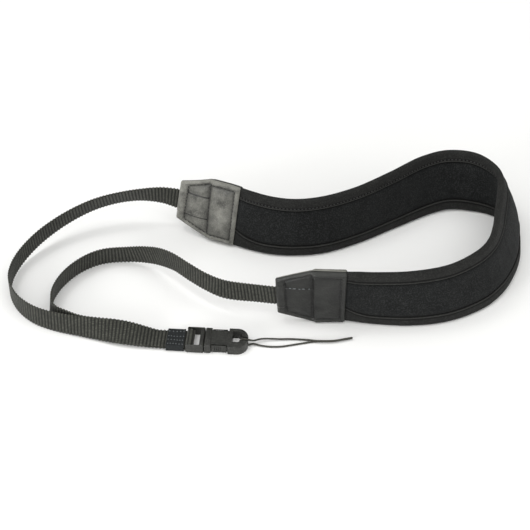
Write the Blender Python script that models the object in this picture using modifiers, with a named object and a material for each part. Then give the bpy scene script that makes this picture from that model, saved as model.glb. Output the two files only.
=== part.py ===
"""Camera neck strap, lying on a table with its padded part standing on edge.

Metres, +Z up. The origin is the middle of the footprint, on the table. The side
towards -Y is the near side, where the buckle lies, and +X is the padded bend.
"""

import math
from collections import namedtuple

import bmesh
import bpy
from mathutils import Matrix, Vector

# How the strap lies
lay_length = 0.3350
lay_depth = 0.1570
clearance = 0.0003

# Padded neck piece
pad_width = 0.0430
pad_thickness = 0.0046
band_width = 0.0075
band_wall = 0.0007
panel_drop = 0.0001
pinched_thickness = 0.0030
pinch_length = 0.0080

# End patches, two plies each
patch_length = 0.0430
taper_length = 0.0215
patch_width = 0.0430
patch_end_width = 0.0280
ply_thickness = 0.0009
skive_length = 0.0030
crease_width = 0.0015

# Webbing and its stitched wrap
strap_width = 0.0150
strap_thickness = 0.0012
tail_length = 0.0190
tail_step = 0.0063
wrap_length = 0.0110
wrap_wall = 0.0005
wrap_gap = 0.0011

# Buckle
buckle_height = 0.0060
bar_diameter = 0.0022
rail_wall = 0.0010
strap_play = 0.0003
rail_end = 0.0024
window_length = 0.0061
base_flange = 0.0026
socket_width = 0.0170
socket_flange = 0.0042
notch_length = 0.0104
notch_depth = 0.0021
button_recess = 0.0010
button_wall = 0.0008
plate_wall = 0.0013
arm_width = 0.0018
button_neck = 0.0032
ring_length = 0.0122
ring_straight = 0.0055
ring_hole_length = 0.0048
ring_hole_straight = 0.0024
ring_bridge = 0.0023
ring_rim_side = 0.0022
saddle_width = 0.0036
saddle_depth = 0.0018
edge_round = 0.0006
buckle_turn = math.radians(-4)

# Webbing's turn round the bar, degrees from level, from below to above
turn_start = -95
turn_end = 130
turn_step = 25

# Thin cord loop
cord_diameter = 0.00115
cord_step = 0.0026

# Sampling along the soft pieces
pad_step = 0.0065
patch_step = 0.0040
strap_step = 0.0042
arch_step = 15
bevel_segments = 2
weld_distance = 1e-6
smooth_below = math.radians(35)
bevel_above = math.radians(50)

Row = namedtuple("Row", "along back lift lean")
Bow = namedtuple("Bow", "along height")
Frame = namedtuple("Frame", "point across face")

# Along and back are shares of the lay length and depth, from the left and from
# the near side. Lift is how far the lower edge stands off the table, as a share
# of the pad width. Lean is in degrees, positive with the top tipped outwards.
far_patch_rows = [
    Row(0.316, 0.798, 0.055, 10),
    Row(0.364, 0.758, 0.020, 12),
    Row(0.420, 0.707, 0.012, 12),
]
pad_rows = [
    Row(0.458, 0.669, 0.000, 10),
    Row(0.500, 0.634, 0.000, 8),
    Row(0.546, 0.621, 0.000, 6),
    Row(0.600, 0.637, 0.000, 7),
    Row(0.669, 0.703, 0.000, 7),
    Row(0.745, 0.812, 0.000, 10),
    Row(0.815, 0.918, 0.000, 16),
    Row(0.858, 0.955, 0.000, 17),
    Row(0.903, 0.944, 0.000, 13),
    Row(0.946, 0.880, 0.000, -3),
    Row(0.969, 0.785, 0.000, -19),
    Row(0.966, 0.680, 0.000, -22),
    Row(0.958, 0.575, 0.000, -24),
    Row(0.944, 0.466, 0.000, -20),
    Row(0.924, 0.371, 0.000, -15),
    Row(0.893, 0.291, 0.000, -11),
    Row(0.829, 0.205, 0.000, -5),
    Row(0.760, 0.173, 0.000, -1),
    Row(0.694, 0.173, 0.000, 3),
]
near_patch_rows = [
    Row(0.636, 0.182, 0.010, 6),
    Row(0.571, 0.188, 0.000, 4),
    Row(0.509, 0.200, -0.025, 2),
]

# Across its width the pad bows outwards in the bend. Along is a share of the
# length from patch to patch, and height is a share of the pad width.
bow_rows = [
    Bow(0.42, 0.00),
    Bow(0.53, 0.08),
    Bow(0.60, 0.07),
    Bow(0.70, 0.00),
]

# Webbing from the near patch, round the inner hairpin
near_rows = [
    Row(0.473, 0.222, 0.270, 2),
    Row(0.411, 0.262, 0.225, -2),
    Row(0.376, 0.303, 0.240, 0),
    Row(0.345, 0.358, 0.250, 0),
    Row(0.308, 0.438, 0.225, 2),
    Row(0.268, 0.515, 0.095, 5),
    Row(0.222, 0.550, 0.010, 9),
    Row(0.169, 0.538, 0.000, 9),
    Row(0.131, 0.484, 0.000, 9),
    Row(0.100, 0.392, 0.000, 8),
    Row(0.086, 0.300, 0.000, 7),
    Row(0.086, 0.232, 0.000, 7),
    Row(0.095, 0.180, 0.000, 8),
    Row(0.118, 0.147, 0.000, 10),
]

# Webbing from the wrap, round the left turn to the far patch. Its first rows
# also carry the near webbing, which lies just inside it.
shared_rows = [
    Row(0.288, 0.073, 0.000, -89),
    Row(0.267, 0.075, 0.004, -79),
    Row(0.237, 0.078, 0.006, -60),
    Row(0.211, 0.081, 0.003, -40),
    Row(0.184, 0.088, 0.000, -21),
    Row(0.146, 0.107, 0.000, -11),
]
far_rows = [
    Row(0.096, 0.138, 0.000, -6),
    Row(0.057, 0.178, 0.000, -3),
    Row(0.023, 0.248, 0.001, 0),
    Row(0.002, 0.345, 0.002, 0),
    Row(0.000, 0.438, 0.002, -2),
    Row(0.013, 0.537, 0.020, -4),
    Row(0.041, 0.627, 0.095, -9),
    Row(0.076, 0.697, 0.180, -14),
    Row(0.117, 0.753, 0.270, -19),
    Row(0.155, 0.787, 0.340, -23),
    Row(0.202, 0.808, 0.400, -25),
    Row(0.245, 0.816, 0.420, -20),
    Row(0.284, 0.813, 0.410, -6),
]

# Where the buckle's bar lies, as shares of the lay length and depth
bar_along = 0.3506
bar_back = 0.0640

# Cord's points, metres: from one joined end at the tip, along the far strand,
# over and round the ring's rim, and back along the near strand
cord_route = [
    (0.0500, -0.0646, 0.0006),
    (0.0430, -0.0657, 0.0006),
    (0.0350, -0.0666, 0.0006),
    (0.0270, -0.0670, 0.0008),
    (0.0180, -0.0668, 0.0012),
    (0.0090, -0.0671, 0.0018),
    (0.0000, -0.0677, 0.0026),
    (-0.0074, -0.0692, 0.0036),
    (-0.0121, -0.0705, 0.0047),
    (-0.0150, -0.0708, 0.0053),
    (-0.0194, -0.0705, 0.0054),
    (-0.0211, -0.0705, 0.0047),
    (-0.0218, -0.0705, 0.0030),
    (-0.0211, -0.0706, 0.0015),
    (-0.0194, -0.0706, 0.0008),
    (-0.0150, -0.0710, 0.0007),
    (-0.0121, -0.0713, 0.0009),
    (-0.0078, -0.0720, 0.0010),
    (-0.0030, -0.0728, 0.0008),
    (0.0020, -0.0731, 0.0006),
    (0.0070, -0.0727, 0.0006),
    (0.0135, -0.0713, 0.0006),
    (0.0206, -0.0699, 0.0006),
    (0.0280, -0.0688, 0.0006),
    (0.0360, -0.0682, 0.0006),
    (0.0430, -0.0673, 0.0006),
    (0.0500, -0.0661, 0.0006),
]

half_pad = pad_width / 2
half_strap = strap_width / 2
pad_start = taper_length + skive_length
base_width = strap_width + 2 * (strap_play + rail_wall)
stack_pitch = strap_thickness + clearance
upper_rise = wrap_wall + 2 * clearance + 1.5 * strap_thickness
up = Vector((0, 0, 1))


def clear_scene():
    for old in list(bpy.data.objects):
        bpy.data.objects.remove(old, do_unlink=True)


def make_material(name, colour, roughness):
    material = bpy.data.materials.new(name)
    material.use_nodes = True
    shader = material.node_tree.nodes["Principled BSDF"]
    shader.inputs["Base Color"].default_value = (*colour, 1)
    shader.inputs["Roughness"].default_value = roughness
    shader.inputs["Metallic"].default_value = 0
    return material


def make_collections():
    strap = bpy.data.collections.new("camera_neck_strap")
    cutters = bpy.data.collections.new("cutters")
    cutters.hide_render = True
    for collection in (strap, cutters):
        bpy.context.scene.collection.children.link(collection)
    return strap, cutters


def add_object(name, mesh, material, collection):
    mesh.name = name
    obj = bpy.data.objects.new(name, mesh)
    if material:
        mesh.materials.append(material)
    collection.objects.link(obj)
    return obj


# Smooth curves through the rows


def lowest_reach(half_width, thickness, lean):
    return half_width * math.cos(lean) + thickness / 2 * abs(math.sin(lean))


def place(along, back, rise):
    x = (along - 0.5) * lay_length
    y = (back - 0.5) * lay_depth
    return Vector((x, y, rise))


def blend(knots, t):
    """Centripetal Catmull-Rom value, from four (time, value) knots, at time t."""
    (t0, p0), (t1, p1), (t2, p2), (t3, p3) = knots

    def mix(ta, a, tb, b):
        return a * ((tb - t) / (tb - ta)) + b * ((t - ta) / (tb - ta))

    a1, a2, a3 = mix(t0, p0, t1, p1), mix(t1, p1, t2, p2), mix(t2, p2, t3, p3)
    return mix(t1, mix(t0, a1, t2, a2), t2, mix(t1, a2, t3, a3))


def smooth_run(values, step, key=lambda value: value):
    """Values along a smooth curve through all the given ones, about a step apart."""
    first = values[0] * 2 - values[1]
    last = values[-1] * 2 - values[-2]
    padded = [first, *values, last]
    times = [0.0]
    for a, b in zip(padded, padded[1:]):
        times.append(times[-1] + math.sqrt((key(b) - key(a)).length))
    run = []
    for i in range(1, len(padded) - 2):
        knots = list(zip(times[i - 1 : i + 3], padded[i - 1 : i + 3]))
        length = (key(padded[i + 1]) - key(padded[i])).length
        count = max(1, round(length / step))
        span = times[i + 1] - times[i]
        run += [blend(knots, times[i] + span * k / count) for k in range(count)]
    return [*run, values[-1]]


def first_three(value):
    return Vector(value[:3])


def level_normal(direction):
    """The level direction to the left of a heading, which is the band's outer side."""
    return Vector((-direction.y, direction.x, 0)).normalized()


def frame_at(point, heading, across):
    heading = heading.normalized()
    across = (across - heading * across.dot(heading)).normalized()
    return Frame(point, across, across.cross(heading))


def run_headings(points):
    headings = []
    for i in range(len(points)):
        before, after = points[max(i - 1, 0)], points[min(i + 1, len(points) - 1)]
        headings.append((after - before).normalized())
    return headings


def frames_through(points, acrosses, step):
    """Frames along a smooth curve, from its points and its across directions."""
    values = [Vector((*p, *a)) for p, a in zip(points, acrosses)]
    run = smooth_run(values, step, first_three)
    places = [Vector(v[:3]) for v in run]
    sides = [Vector(v[3:]) for v in run]
    headings = run_headings(places)
    return [frame_at(p, h, a) for p, h, a in zip(places, headings, sides)]


def row_controls(tables):
    """The point and across direction of each row of the tables, one after another."""
    leans = []
    points = []
    for rows, rise_of in tables:
        for row in rows:
            leans.append(math.radians(row.lean))
            points.append(place(row.along, row.back, rise_of(row, leans[-1])))
    acrosses = []
    for lean, heading in zip(leans, run_headings(points)):
        side = level_normal(heading)
        acrosses.append(up * math.cos(lean) + side * math.sin(lean))
    return points, acrosses


def pad_rise(row, lean):
    return lowest_reach(half_pad, pad_thickness, lean) + row.lift * pad_width


def patch_rise(row, lean):
    thickness = pinched_thickness + 2 * (clearance + ply_thickness)
    half_width = max(patch_width, pad_width) / 2
    return lowest_reach(half_width, thickness, lean) + row.lift * pad_width


def strap_rise(row, lean):
    return lowest_reach(half_strap, strap_thickness, lean) + row.lift * pad_width


def shared_rise(row, lean):
    """The upper webbing's rise: as it turns flat it climbs onto the lower one."""
    flatness = abs(math.sin(lean))
    wrap_step = upper_rise - strap_thickness / 2 - stack_pitch
    return strap_rise(row, lean) + stack_pitch * flatness + wrap_step * flatness**2


class Path:
    """A run of frames that can be read at any distance along it."""

    def __init__(self, frames):
        self.frames = frames
        self.marks = [0.0]
        for a, b in zip(frames, frames[1:]):
            self.marks.append(self.marks[-1] + (b.point - a.point).length)
        self.length = self.marks[-1]

    def at(self, distance):
        distance = min(max(distance, 0), self.length)
        i = 0
        while i < len(self.frames) - 2 and self.marks[i + 1] < distance:
            i += 1
        share = (distance - self.marks[i]) / (self.marks[i + 1] - self.marks[i])
        a, b = self.frames[i], self.frames[i + 1]
        heading = b.point - a.point
        point = a.point.lerp(b.point, share)
        return frame_at(point, heading, a.across.lerp(b.across, share))


def spread(start, end, step):
    count = max(2, round((end - start) / step))
    return [start + (end - start) * k / count for k in range(count + 1)]


# Lofts


def loft(name, rings, material, collection):
    """A closed solid through rings of equal count, with a face on each end."""
    mesh_maker = bmesh.new()
    loops = [[mesh_maker.verts.new(p) for p in ring] for ring in rings]
    for a, b in zip(loops, loops[1:]):
        for i in range(len(a)):
            j = (i + 1) % len(a)
            mesh_maker.faces.new((a[i], a[j], b[j], b[i]))
    mesh_maker.faces.new(list(reversed(loops[0])))
    mesh_maker.faces.new(loops[-1])
    bmesh.ops.recalc_face_normals(mesh_maker, faces=mesh_maker.faces)
    mesh = bpy.data.meshes.new(name)
    mesh_maker.to_mesh(mesh)
    mesh_maker.free()
    mesh.shade_smooth()
    mesh.set_sharp_from_angle(angle=smooth_below)
    return add_object(name, mesh, material, collection)


def ring_at(frame, section):
    """A section's (across, face) points placed on a frame."""
    return [frame.point + frame.across * a + frame.face * n for a, n in section]


def both_faces(upper):
    """A closed section from the (across, face) points of its upper half."""
    return upper + [(a, -n) for a, n in reversed(upper)]


# Pad


def half_thickness(distance):
    """The pad is pinched flat inside a patch and swells to its full thickness past it."""
    share = min(max((distance - patch_length) / pinch_length, 0), 1)
    swell = (3 - 2 * share) * share * share
    return (pinched_thickness + (pad_thickness - pinched_thickness) * swell) / 2


def bow_height(share):
    """The pad's outward bow at a share of its length, eased from row to row."""
    for a, b in zip(bow_rows, bow_rows[1:]):
        if a.along <= share <= b.along:
            part = (share - a.along) / (b.along - a.along)
            ease = (3 - 2 * part) * part * part
            return (a.height + (b.height - a.height) * ease) * pad_width
    return 0


def bowed(section, height):
    return [(a, n + height * (1 - (a / half_pad) ** 2)) for a, n in section]


def panel_section(half):
    tongue = half_pad - band_wall - clearance
    shoulder = half_pad - band_width - clearance
    thin = half - band_wall - clearance
    thick = half - panel_drop
    right = [(shoulder - thin, thick), (shoulder, thick - clearance)]
    right += [(shoulder, thin), (tongue, thin)]
    left = [(-a, n) for a, n in reversed(right)]
    flat = [(shoulder * share, thick) for share in (-0.5, 0, 0.5)]
    return both_faces(left + flat + right)


def band_section(half, side):
    inner = half_pad - band_width
    floor = half_pad - band_wall
    slot = half - band_wall
    corner = band_wall + clearance
    outer = [(inner, slot), (inner, half - clearance), (inner + corner, half)]
    outer += [(half_pad - corner, half), (half_pad - clearance, half - corner)]
    section = both_faces(outer)[:-1] + [(inner, -slot), (floor, -slot), (floor, slot)]
    return [(side * a, n) for a, n in section]


def build_pad(path, material, edge_material, collection):
    end = path.length
    swollen = patch_length + pinch_length
    tapered = spread(pad_start, patch_length, patch_step)
    tapered += spread(patch_length, swollen, patch_step / 2)[1:]
    marks = tapered + spread(swollen, end - swollen, pad_step)[1:-1]
    marks += [end - mark for mark in reversed(tapered)]
    frames = [path.at(mark) for mark in marks]
    halves = [half_thickness(min(mark, end - mark)) for mark in marks]
    bows = [bow_height(mark / end) for mark in marks]
    stations = list(zip(frames, halves, bows))
    core = [ring_at(f, bowed(panel_section(half), bow)) for f, half, bow in stations]
    loft("pad_core", core, material, collection)
    for name, side in (("pad_edge_top", 1), ("pad_edge_bottom", -1)):
        rings = [ring_at(f, bowed(band_section(half, side), bow)) for f, half, bow in stations]
        loft(name, rings, edge_material, collection)


# End patches


def ply_section(distance, face_side):
    """Section of a ply at a distance from the patch's narrow end."""
    widening = min(distance / taper_length, 1)
    half = (patch_end_width + (patch_width - patch_end_width) * widening) / 2
    opening = min(max((distance - taper_length) / skive_length, 0), 1)
    on_pad = pinched_thickness / 2 + clearance
    on_strap = strap_thickness / 2 + clearance
    middle = on_strap + (on_pad - on_strap) * opening
    border = clearance / 2 + (on_pad - clearance / 2) * opening
    crease = half_strap + clearance
    upper = [(-half, border), (-crease - crease_width, border), (-crease, middle)]
    upper += [(-a, n) for a, n in reversed(upper)]
    outer = [(a, n + ply_thickness) for a, n in reversed(upper)]
    return [(a, face_side * n) for a, n in upper + outer]


def build_patch(name, path, from_start, material, collection):
    marks = spread(0, taper_length, patch_step)
    marks += spread(taper_length, pad_start, skive_length)[1:]
    marks += spread(pad_start, patch_length, patch_step)[1:]
    for side_name, face_side in (("outer", 1), ("inner", -1)):
        rings = []
        for mark in marks:
            frame = path.at(mark if from_start else path.length - mark)
            rings.append(ring_at(frame, ply_section(mark, face_side)))
        loft(f"{name}_{side_name}", rings, material, collection)


# Webbing


def buckle_matrix():
    spot = place(bar_along, bar_back, 0)
    return Matrix.Translation(spot) @ Matrix.Rotation(buckle_turn, 4, "Z")


def wrap_ends():
    """Distances of the wrap's ends from the bar, away from the buckle."""
    near = rail_end + wrap_gap
    return near, near + wrap_length


def wrap_runs():
    """The upper and lower webbing's points in the wrap, from the bar outwards."""
    near, far = wrap_ends()
    turned = buckle_matrix()
    spots = (near, (near + far) / 2, far)
    upper = [turned @ Vector((-d, 0, upper_rise)) for d in spots]
    lower = [turned @ Vector((-d, 0, upper_rise - stack_pitch)) for d in spots]
    return upper, lower


def bar_turn():
    """The webbing's points round the bar, from below to above."""
    radius = bar_diameter / 2 + clearance + strap_thickness / 2
    turned = buckle_matrix()
    points = []
    for degrees in range(turn_start, turn_end + 1, turn_step):
        angle = math.radians(degrees)
        local = (radius * math.cos(angle), 0, buckle_height / 2 + radius * math.sin(angle))
        points.append(turned @ Vector(local))
    return points


def patch_tail(path, from_start):
    """The webbing's points inside a patch, from its hidden end to the patch's end."""
    marks = spread(0, tail_length, tail_step)[::-1]
    frames = [path.at(m if from_start else path.length - m) for m in marks]
    return [f.point for f in frames], [f.across for f in frames]


def strap_controls(path):
    points, acrosses = patch_tail(path, from_start=False)
    near_points, near_acrosses = row_controls([(near_rows, strap_rise)])
    far_tables = [(shared_rows, shared_rise), (far_rows, strap_rise)]
    run_points, run_acrosses = row_controls(far_tables)
    shared = len(shared_rows)
    headings = run_headings(run_points)
    under = []
    for point, across, heading in zip(run_points, run_acrosses, headings[:shared]):
        under.append((point - across.cross(heading).normalized() * stack_pitch, across))
    under.reverse()
    points += near_points + [p for p, a in under]
    acrosses += near_acrosses + [a for p, a in under]
    upper, lower = wrap_runs()
    middle = list(reversed(lower)) + bar_turn() + upper
    far_tail_points, far_tail_acrosses = patch_tail(path, from_start=True)
    points += middle + run_points + list(reversed(far_tail_points))
    acrosses += [buckle_matrix().to_3x3() @ Vector((0, 1, 0))] * len(middle)
    acrosses += run_acrosses + list(reversed(far_tail_acrosses))
    return points, acrosses


def build_strap(path, material, collection):
    points, acrosses = strap_controls(path)
    frames = frames_through(points, acrosses, strap_step)
    thin = strap_thickness / 2
    section = both_faces([(-half_strap, thin), (half_strap, thin)])
    rings = [ring_at(f, section) for f in frames]
    return loft("strap_webbing", rings, material, collection)


# Buckle


def local_box(name, x_range, half_width, z_range, collection, material=None):
    """A box in the buckle's own frame, centred across it."""
    mesh_maker = bmesh.new()
    bmesh.ops.create_cube(mesh_maker, size=1)
    size = Vector((x_range[1] - x_range[0], 2 * half_width, z_range[1] - z_range[0]))
    centre = Vector((sum(x_range) / 2, 0, sum(z_range) / 2))
    bmesh.ops.scale(mesh_maker, vec=size, verts=mesh_maker.verts)
    bmesh.ops.translate(mesh_maker, vec=centre, verts=mesh_maker.verts)
    mesh = bpy.data.meshes.new(name)
    mesh_maker.to_mesh(mesh)
    mesh_maker.free()
    return add_object(name, mesh, material, collection)


def side_pair(name, x_range, y_range, z_range, collection):
    """The same box on both sides of the buckle's middle plane, in one mesh."""
    pair = local_box(name, x_range, (y_range[1] - y_range[0]) / 2, z_range, collection)
    shift = sum(y_range) / 2
    mesh_maker = bmesh.new()
    mesh_maker.from_mesh(pair.data)
    bmesh.ops.translate(mesh_maker, vec=(0, shift, 0), verts=mesh_maker.verts)
    half = mesh_maker.verts[:] + mesh_maker.edges[:] + mesh_maker.faces[:]
    copied = bmesh.ops.duplicate(mesh_maker, geom=half)["geom"]
    moved = [item for item in copied if isinstance(item, bmesh.types.BMVert)]
    bmesh.ops.translate(mesh_maker, vec=(0, -2 * shift, 0), verts=moved)
    mesh_maker.to_mesh(pair.data)
    mesh_maker.free()
    return pair


def outline_prism(name, outline, z_range, collection, material=None):
    """A flat outline filled and given its height."""
    curve = bpy.data.curves.new(name, "CURVE")
    curve.dimensions = "2D"
    curve.fill_mode = "BOTH"
    curve.extrude = (z_range[1] - z_range[0]) / 2
    spline = curve.splines.new("POLY")
    spline.points.add(len(outline) - 1)
    for point, (x, y) in zip(spline.points, outline):
        point.co = (x, y, 0, 1)
    spline.use_cyclic_u = True
    guide = bpy.data.objects.new(name + "_outline", curve)
    collection.objects.link(guide)
    bpy.context.view_layer.update()
    graph = bpy.context.evaluated_depsgraph_get()
    mesh = bpy.data.meshes.new_from_object(guide.evaluated_get(graph))
    bpy.data.objects.remove(guide, do_unlink=True)
    mesh_maker = bmesh.new()
    mesh_maker.from_mesh(mesh)
    bmesh.ops.remove_doubles(mesh_maker, verts=mesh_maker.verts, dist=weld_distance)
    bmesh.ops.translate(mesh_maker, vec=(0, 0, sum(z_range) / 2), verts=mesh_maker.verts)
    bmesh.ops.recalc_face_normals(mesh_maker, faces=mesh_maker.faces)
    mesh_maker.to_mesh(mesh)
    mesh_maker.free()
    return add_object(name, mesh, material, collection)


def combine(obj, other, operation):
    """Adds a Boolean of a helper, which stays in the collection of cutters."""
    other.hide_render = True
    other.display_type = "WIRE"
    step = obj.modifiers.new(other.name, "BOOLEAN")
    step.operation = operation
    step.object = other
    step.solver = "EXACT"


def round_edges(obj, width):
    bevel = obj.modifiers.new("rounded", "BEVEL")
    bevel.width = width
    bevel.segments = bevel_segments
    bevel.limit_method = "ANGLE"
    bevel.angle_limit = bevel_above


def d_outline(start, end, half_width, flat):
    """A straight-sided outline whose far end is an arch."""
    arch = end - start - flat
    points = [(start, -half_width), (start + flat, -half_width)]
    for degrees in range(arch_step - 90, 90, arch_step):
        angle = math.radians(degrees)
        x = start + flat + arch * math.cos(angle)
        points.append((x, half_width * math.sin(angle)))
    return points + [(start + flat, half_width), (start, half_width)]


def seat_on_bar(obj):
    obj.matrix_world = buckle_matrix()


def build_base(material, collection, cutters):
    half = base_width / 2
    end = window_length + base_flange
    height = (0, buckle_height)
    base = local_box("buckle_base", (-rail_end, end), half, height, collection, material)
    round_edges(base, edge_round)
    open_x = (-2 * rail_end, window_length)
    open_z = (-buckle_height, 2 * buckle_height)
    window = local_box("base_window", open_x, half - rail_wall, open_z, cutters)
    combine(base, window, "DIFFERENCE")
    helpers = [window, make_bar(cutters), make_prongs(cutters, end)]
    for helper in helpers[1:]:
        combine(base, helper, "UNION")
    for obj in [base, *helpers]:
        seat_on_bar(obj)
    return base


def make_bar(cutters):
    mesh_maker = bmesh.new()
    length = base_width - rail_wall
    radius = bar_diameter / 2
    lying = Matrix.Rotation(math.pi / 2, 3, "X")
    bmesh.ops.create_cone(
        mesh_maker, cap_ends=True, segments=16, radius1=radius, radius2=radius, depth=length
    )
    bmesh.ops.rotate(mesh_maker, matrix=lying, verts=mesh_maker.verts)
    bmesh.ops.translate(mesh_maker, vec=(0, 0, buckle_height / 2), verts=mesh_maker.verts)
    mesh = bpy.data.meshes.new("base_bar")
    mesh_maker.to_mesh(mesh)
    mesh_maker.free()
    return add_object("base_bar", mesh, None, cutters)


def socket_start():
    return window_length + base_flange + clearance


def notch_range():
    start = socket_start() + socket_flange
    return start, start + notch_length


def make_prongs(cutters, base_end):
    """Two spring arms with the buttons that show in the socket's side notches."""
    notch_start, notch_end = notch_range()
    body_half = socket_width / 2 - notch_depth
    button = (body_half + clearance, socket_width / 2 - button_recess)
    arm_low = plate_wall + clearance
    arm_z = (arm_low, buckle_height - arm_low)
    button_z = (clearance, buckle_height - clearance)
    reach = notch_end - clearance
    arm_outer = body_half - clearance
    arm_x = (base_end - base_flange / 2, reach)
    arm_y = (arm_outer - arm_width, arm_outer)
    arms = side_pair("base_arms", arm_x, arm_y, arm_z, cutters)
    neck_x = (notch_end - button_neck, reach)
    neck_y = (arm_outer - arm_width / 2, sum(button) / 2)
    necks = side_pair("base_necks", neck_x, neck_y, arm_z, cutters)
    button_x = (notch_start + clearance, reach)
    buttons = side_pair("base_buttons", button_x, button, button_z, cutters)
    combine(arms, necks, "UNION")
    combine(arms, buttons, "UNION")
    for helper in (necks, buttons):
        seat_on_bar(helper)
    return arms


def build_socket(material, collection, cutters):
    start = socket_start()
    notch_start, notch_end = notch_range()
    half = socket_width / 2
    body_half = half - notch_depth
    height = (0, buckle_height)
    through = (-buckle_height, 2 * buckle_height)
    ring_end = notch_end + ring_length
    outline = [(start, -half), (notch_start, -half)]
    outline += [(notch_start, -body_half), (notch_end, -body_half)]
    outline += d_outline(notch_end, ring_end, half, ring_straight)
    outline += [(notch_end, body_half), (notch_start, body_half)]
    outline += [(notch_start, half), (start, half)]
    socket = outline_prism("buckle_socket", outline, height, collection, material)
    round_edges(socket, edge_round)
    cavity_z = (plate_wall, buckle_height - plate_wall)
    throat_x = (start - socket_flange, notch_end)
    throat = local_box("socket_throat", throat_x, body_half, cavity_z, cutters)
    gates = local_box("socket_gates", notch_range(), half, cavity_z, cutters)
    hole_start = notch_end + ring_bridge
    hole_end = hole_start + ring_hole_length
    hole_outline = d_outline(hole_start, hole_end, half - ring_rim_side, ring_hole_straight)
    hole = outline_prism("socket_ring_hole", hole_outline, through, cutters)
    saddle_x = (hole_start + ring_hole_length / 2, ring_end + ring_rim_side)
    saddle_top = (buckle_height - saddle_depth, 2 * buckle_height)
    saddle_bottom = (-buckle_height, saddle_depth)
    helpers = [throat, gates, hole]
    for name, z_range in (("saddle_top", saddle_top), ("saddle_bottom", saddle_bottom)):
        helpers.append(local_box(name, saddle_x, saddle_width / 2, z_range, cutters))
    for helper in helpers:
        combine(socket, helper, "DIFFERENCE")
    for obj in [socket, *helpers]:
        seat_on_bar(obj)
    return socket


def build_wrap(material, collection, cutters):
    near, far = wrap_ends()
    inner_half = half_strap + clearance
    outer_half = inner_half + wrap_wall
    stack = 2 * strap_thickness + 3 * clearance
    outer_z = (0, stack + 2 * wrap_wall)
    inner_z = (wrap_wall, wrap_wall + stack)
    wrap = local_box("strap_wrap", (-far, -near), outer_half, outer_z, collection, material)
    round_edges(wrap, wrap_wall)
    tunnel = local_box("wrap_tunnel", (-2 * far, near), inner_half, inner_z, cutters)
    combine(wrap, tunnel, "DIFFERENCE")
    for obj in (wrap, tunnel):
        seat_on_bar(obj)
    return wrap


# Cord


def build_cord(material, collection):
    """A tube along a smooth curve through the cord's points."""
    points = smooth_run([Vector(p) for p in cord_route], cord_step)
    curve = bpy.data.curves.new("cord_loop", "CURVE")
    curve.dimensions = "3D"
    curve.bevel_depth = cord_diameter / 2
    curve.bevel_resolution = 2
    curve.use_fill_caps = True
    spline = curve.splines.new("POLY")
    spline.points.add(len(points) - 1)
    for spot, point in zip(spline.points, points):
        spot.co = (*point, 1)
    obj = bpy.data.objects.new("cord_loop", curve)
    curve.materials.append(material)
    collection.objects.link(obj)
    return obj


def main():
    clear_scene()
    strap_parts, cutters = make_collections()
    foam = make_material("black padded cloth", (0.012, 0.013, 0.015), 0.8)
    binding = make_material("charcoal edge cloth", (0.028, 0.027, 0.026), 0.75)
    leather = make_material("black leatherette", (0.020, 0.021, 0.022), 0.5)
    webbing = make_material("ribbed webbing", (0.030, 0.031, 0.027), 0.75)
    keeper = make_material("stitched wrap", (0.030, 0.032, 0.035), 0.7)
    plastic = make_material("charcoal plastic", (0.075, 0.078, 0.075), 0.45)
    cord = make_material("thin cord", (0.055, 0.052, 0.042), 0.8)
    patches = [(far_patch_rows, patch_rise), (near_patch_rows, patch_rise)]
    points, acrosses = row_controls([patches[0], (pad_rows, pad_rise), patches[1]])
    path = Path(frames_through(points, acrosses, patch_step))
    build_pad(path, foam, binding, strap_parts)
    build_patch("patch_back", path, True, leather, strap_parts)
    build_patch("patch_front", path, False, leather, strap_parts)
    build_strap(path, webbing, strap_parts)
    build_wrap(keeper, strap_parts, cutters)
    build_base(plastic, strap_parts, cutters)
    build_socket(plastic, strap_parts, cutters)
    build_cord(cord, strap_parts)


main()
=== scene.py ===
import bisect
import math

import bmesh
import bpy
from mathutils import Matrix, Vector, noise


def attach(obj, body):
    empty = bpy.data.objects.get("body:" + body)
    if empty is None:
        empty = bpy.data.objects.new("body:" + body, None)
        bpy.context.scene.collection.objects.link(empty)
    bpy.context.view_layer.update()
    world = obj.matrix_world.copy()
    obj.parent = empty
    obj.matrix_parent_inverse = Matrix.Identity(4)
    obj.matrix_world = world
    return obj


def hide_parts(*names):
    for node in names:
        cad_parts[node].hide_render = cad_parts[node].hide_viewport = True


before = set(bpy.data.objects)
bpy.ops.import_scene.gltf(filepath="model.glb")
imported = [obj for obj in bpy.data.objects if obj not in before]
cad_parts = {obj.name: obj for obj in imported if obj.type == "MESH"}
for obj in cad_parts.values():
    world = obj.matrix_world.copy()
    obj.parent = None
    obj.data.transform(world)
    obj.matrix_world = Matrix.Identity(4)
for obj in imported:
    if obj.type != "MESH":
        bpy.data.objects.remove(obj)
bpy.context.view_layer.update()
print("frame loaded")

# lengths in metres, angles in degrees
layout = {"length": 0.3350, "depth": 0.1570, "gap": 0.0003}
up = Vector((0, 0, 1))

camera = {
    "target": (-0.0041, 0.0065, 0.0), "distance": 0.95, "elevation": 40, "lens": 98.1, "sensor": 36,
}


def makeCamera():
    data = bpy.data.cameras.new("camera")
    data.sensor_width = camera["sensor"]
    data.lens = camera["lens"]
    data.clip_start = 0.01
    lift = math.radians(camera["elevation"])
    back = Vector((0, -math.cos(lift), math.sin(lift)))
    eye = bpy.data.objects.new("camera", data)
    eye.location = Vector(camera["target"]) + back * camera["distance"]
    eye.rotation_euler = (math.pi / 2 - lift, 0, 0)
    bpy.context.scene.collection.objects.link(eye)
    bpy.context.scene.camera = eye


makeCamera()


# smooth lines that the soft pieces follow

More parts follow.
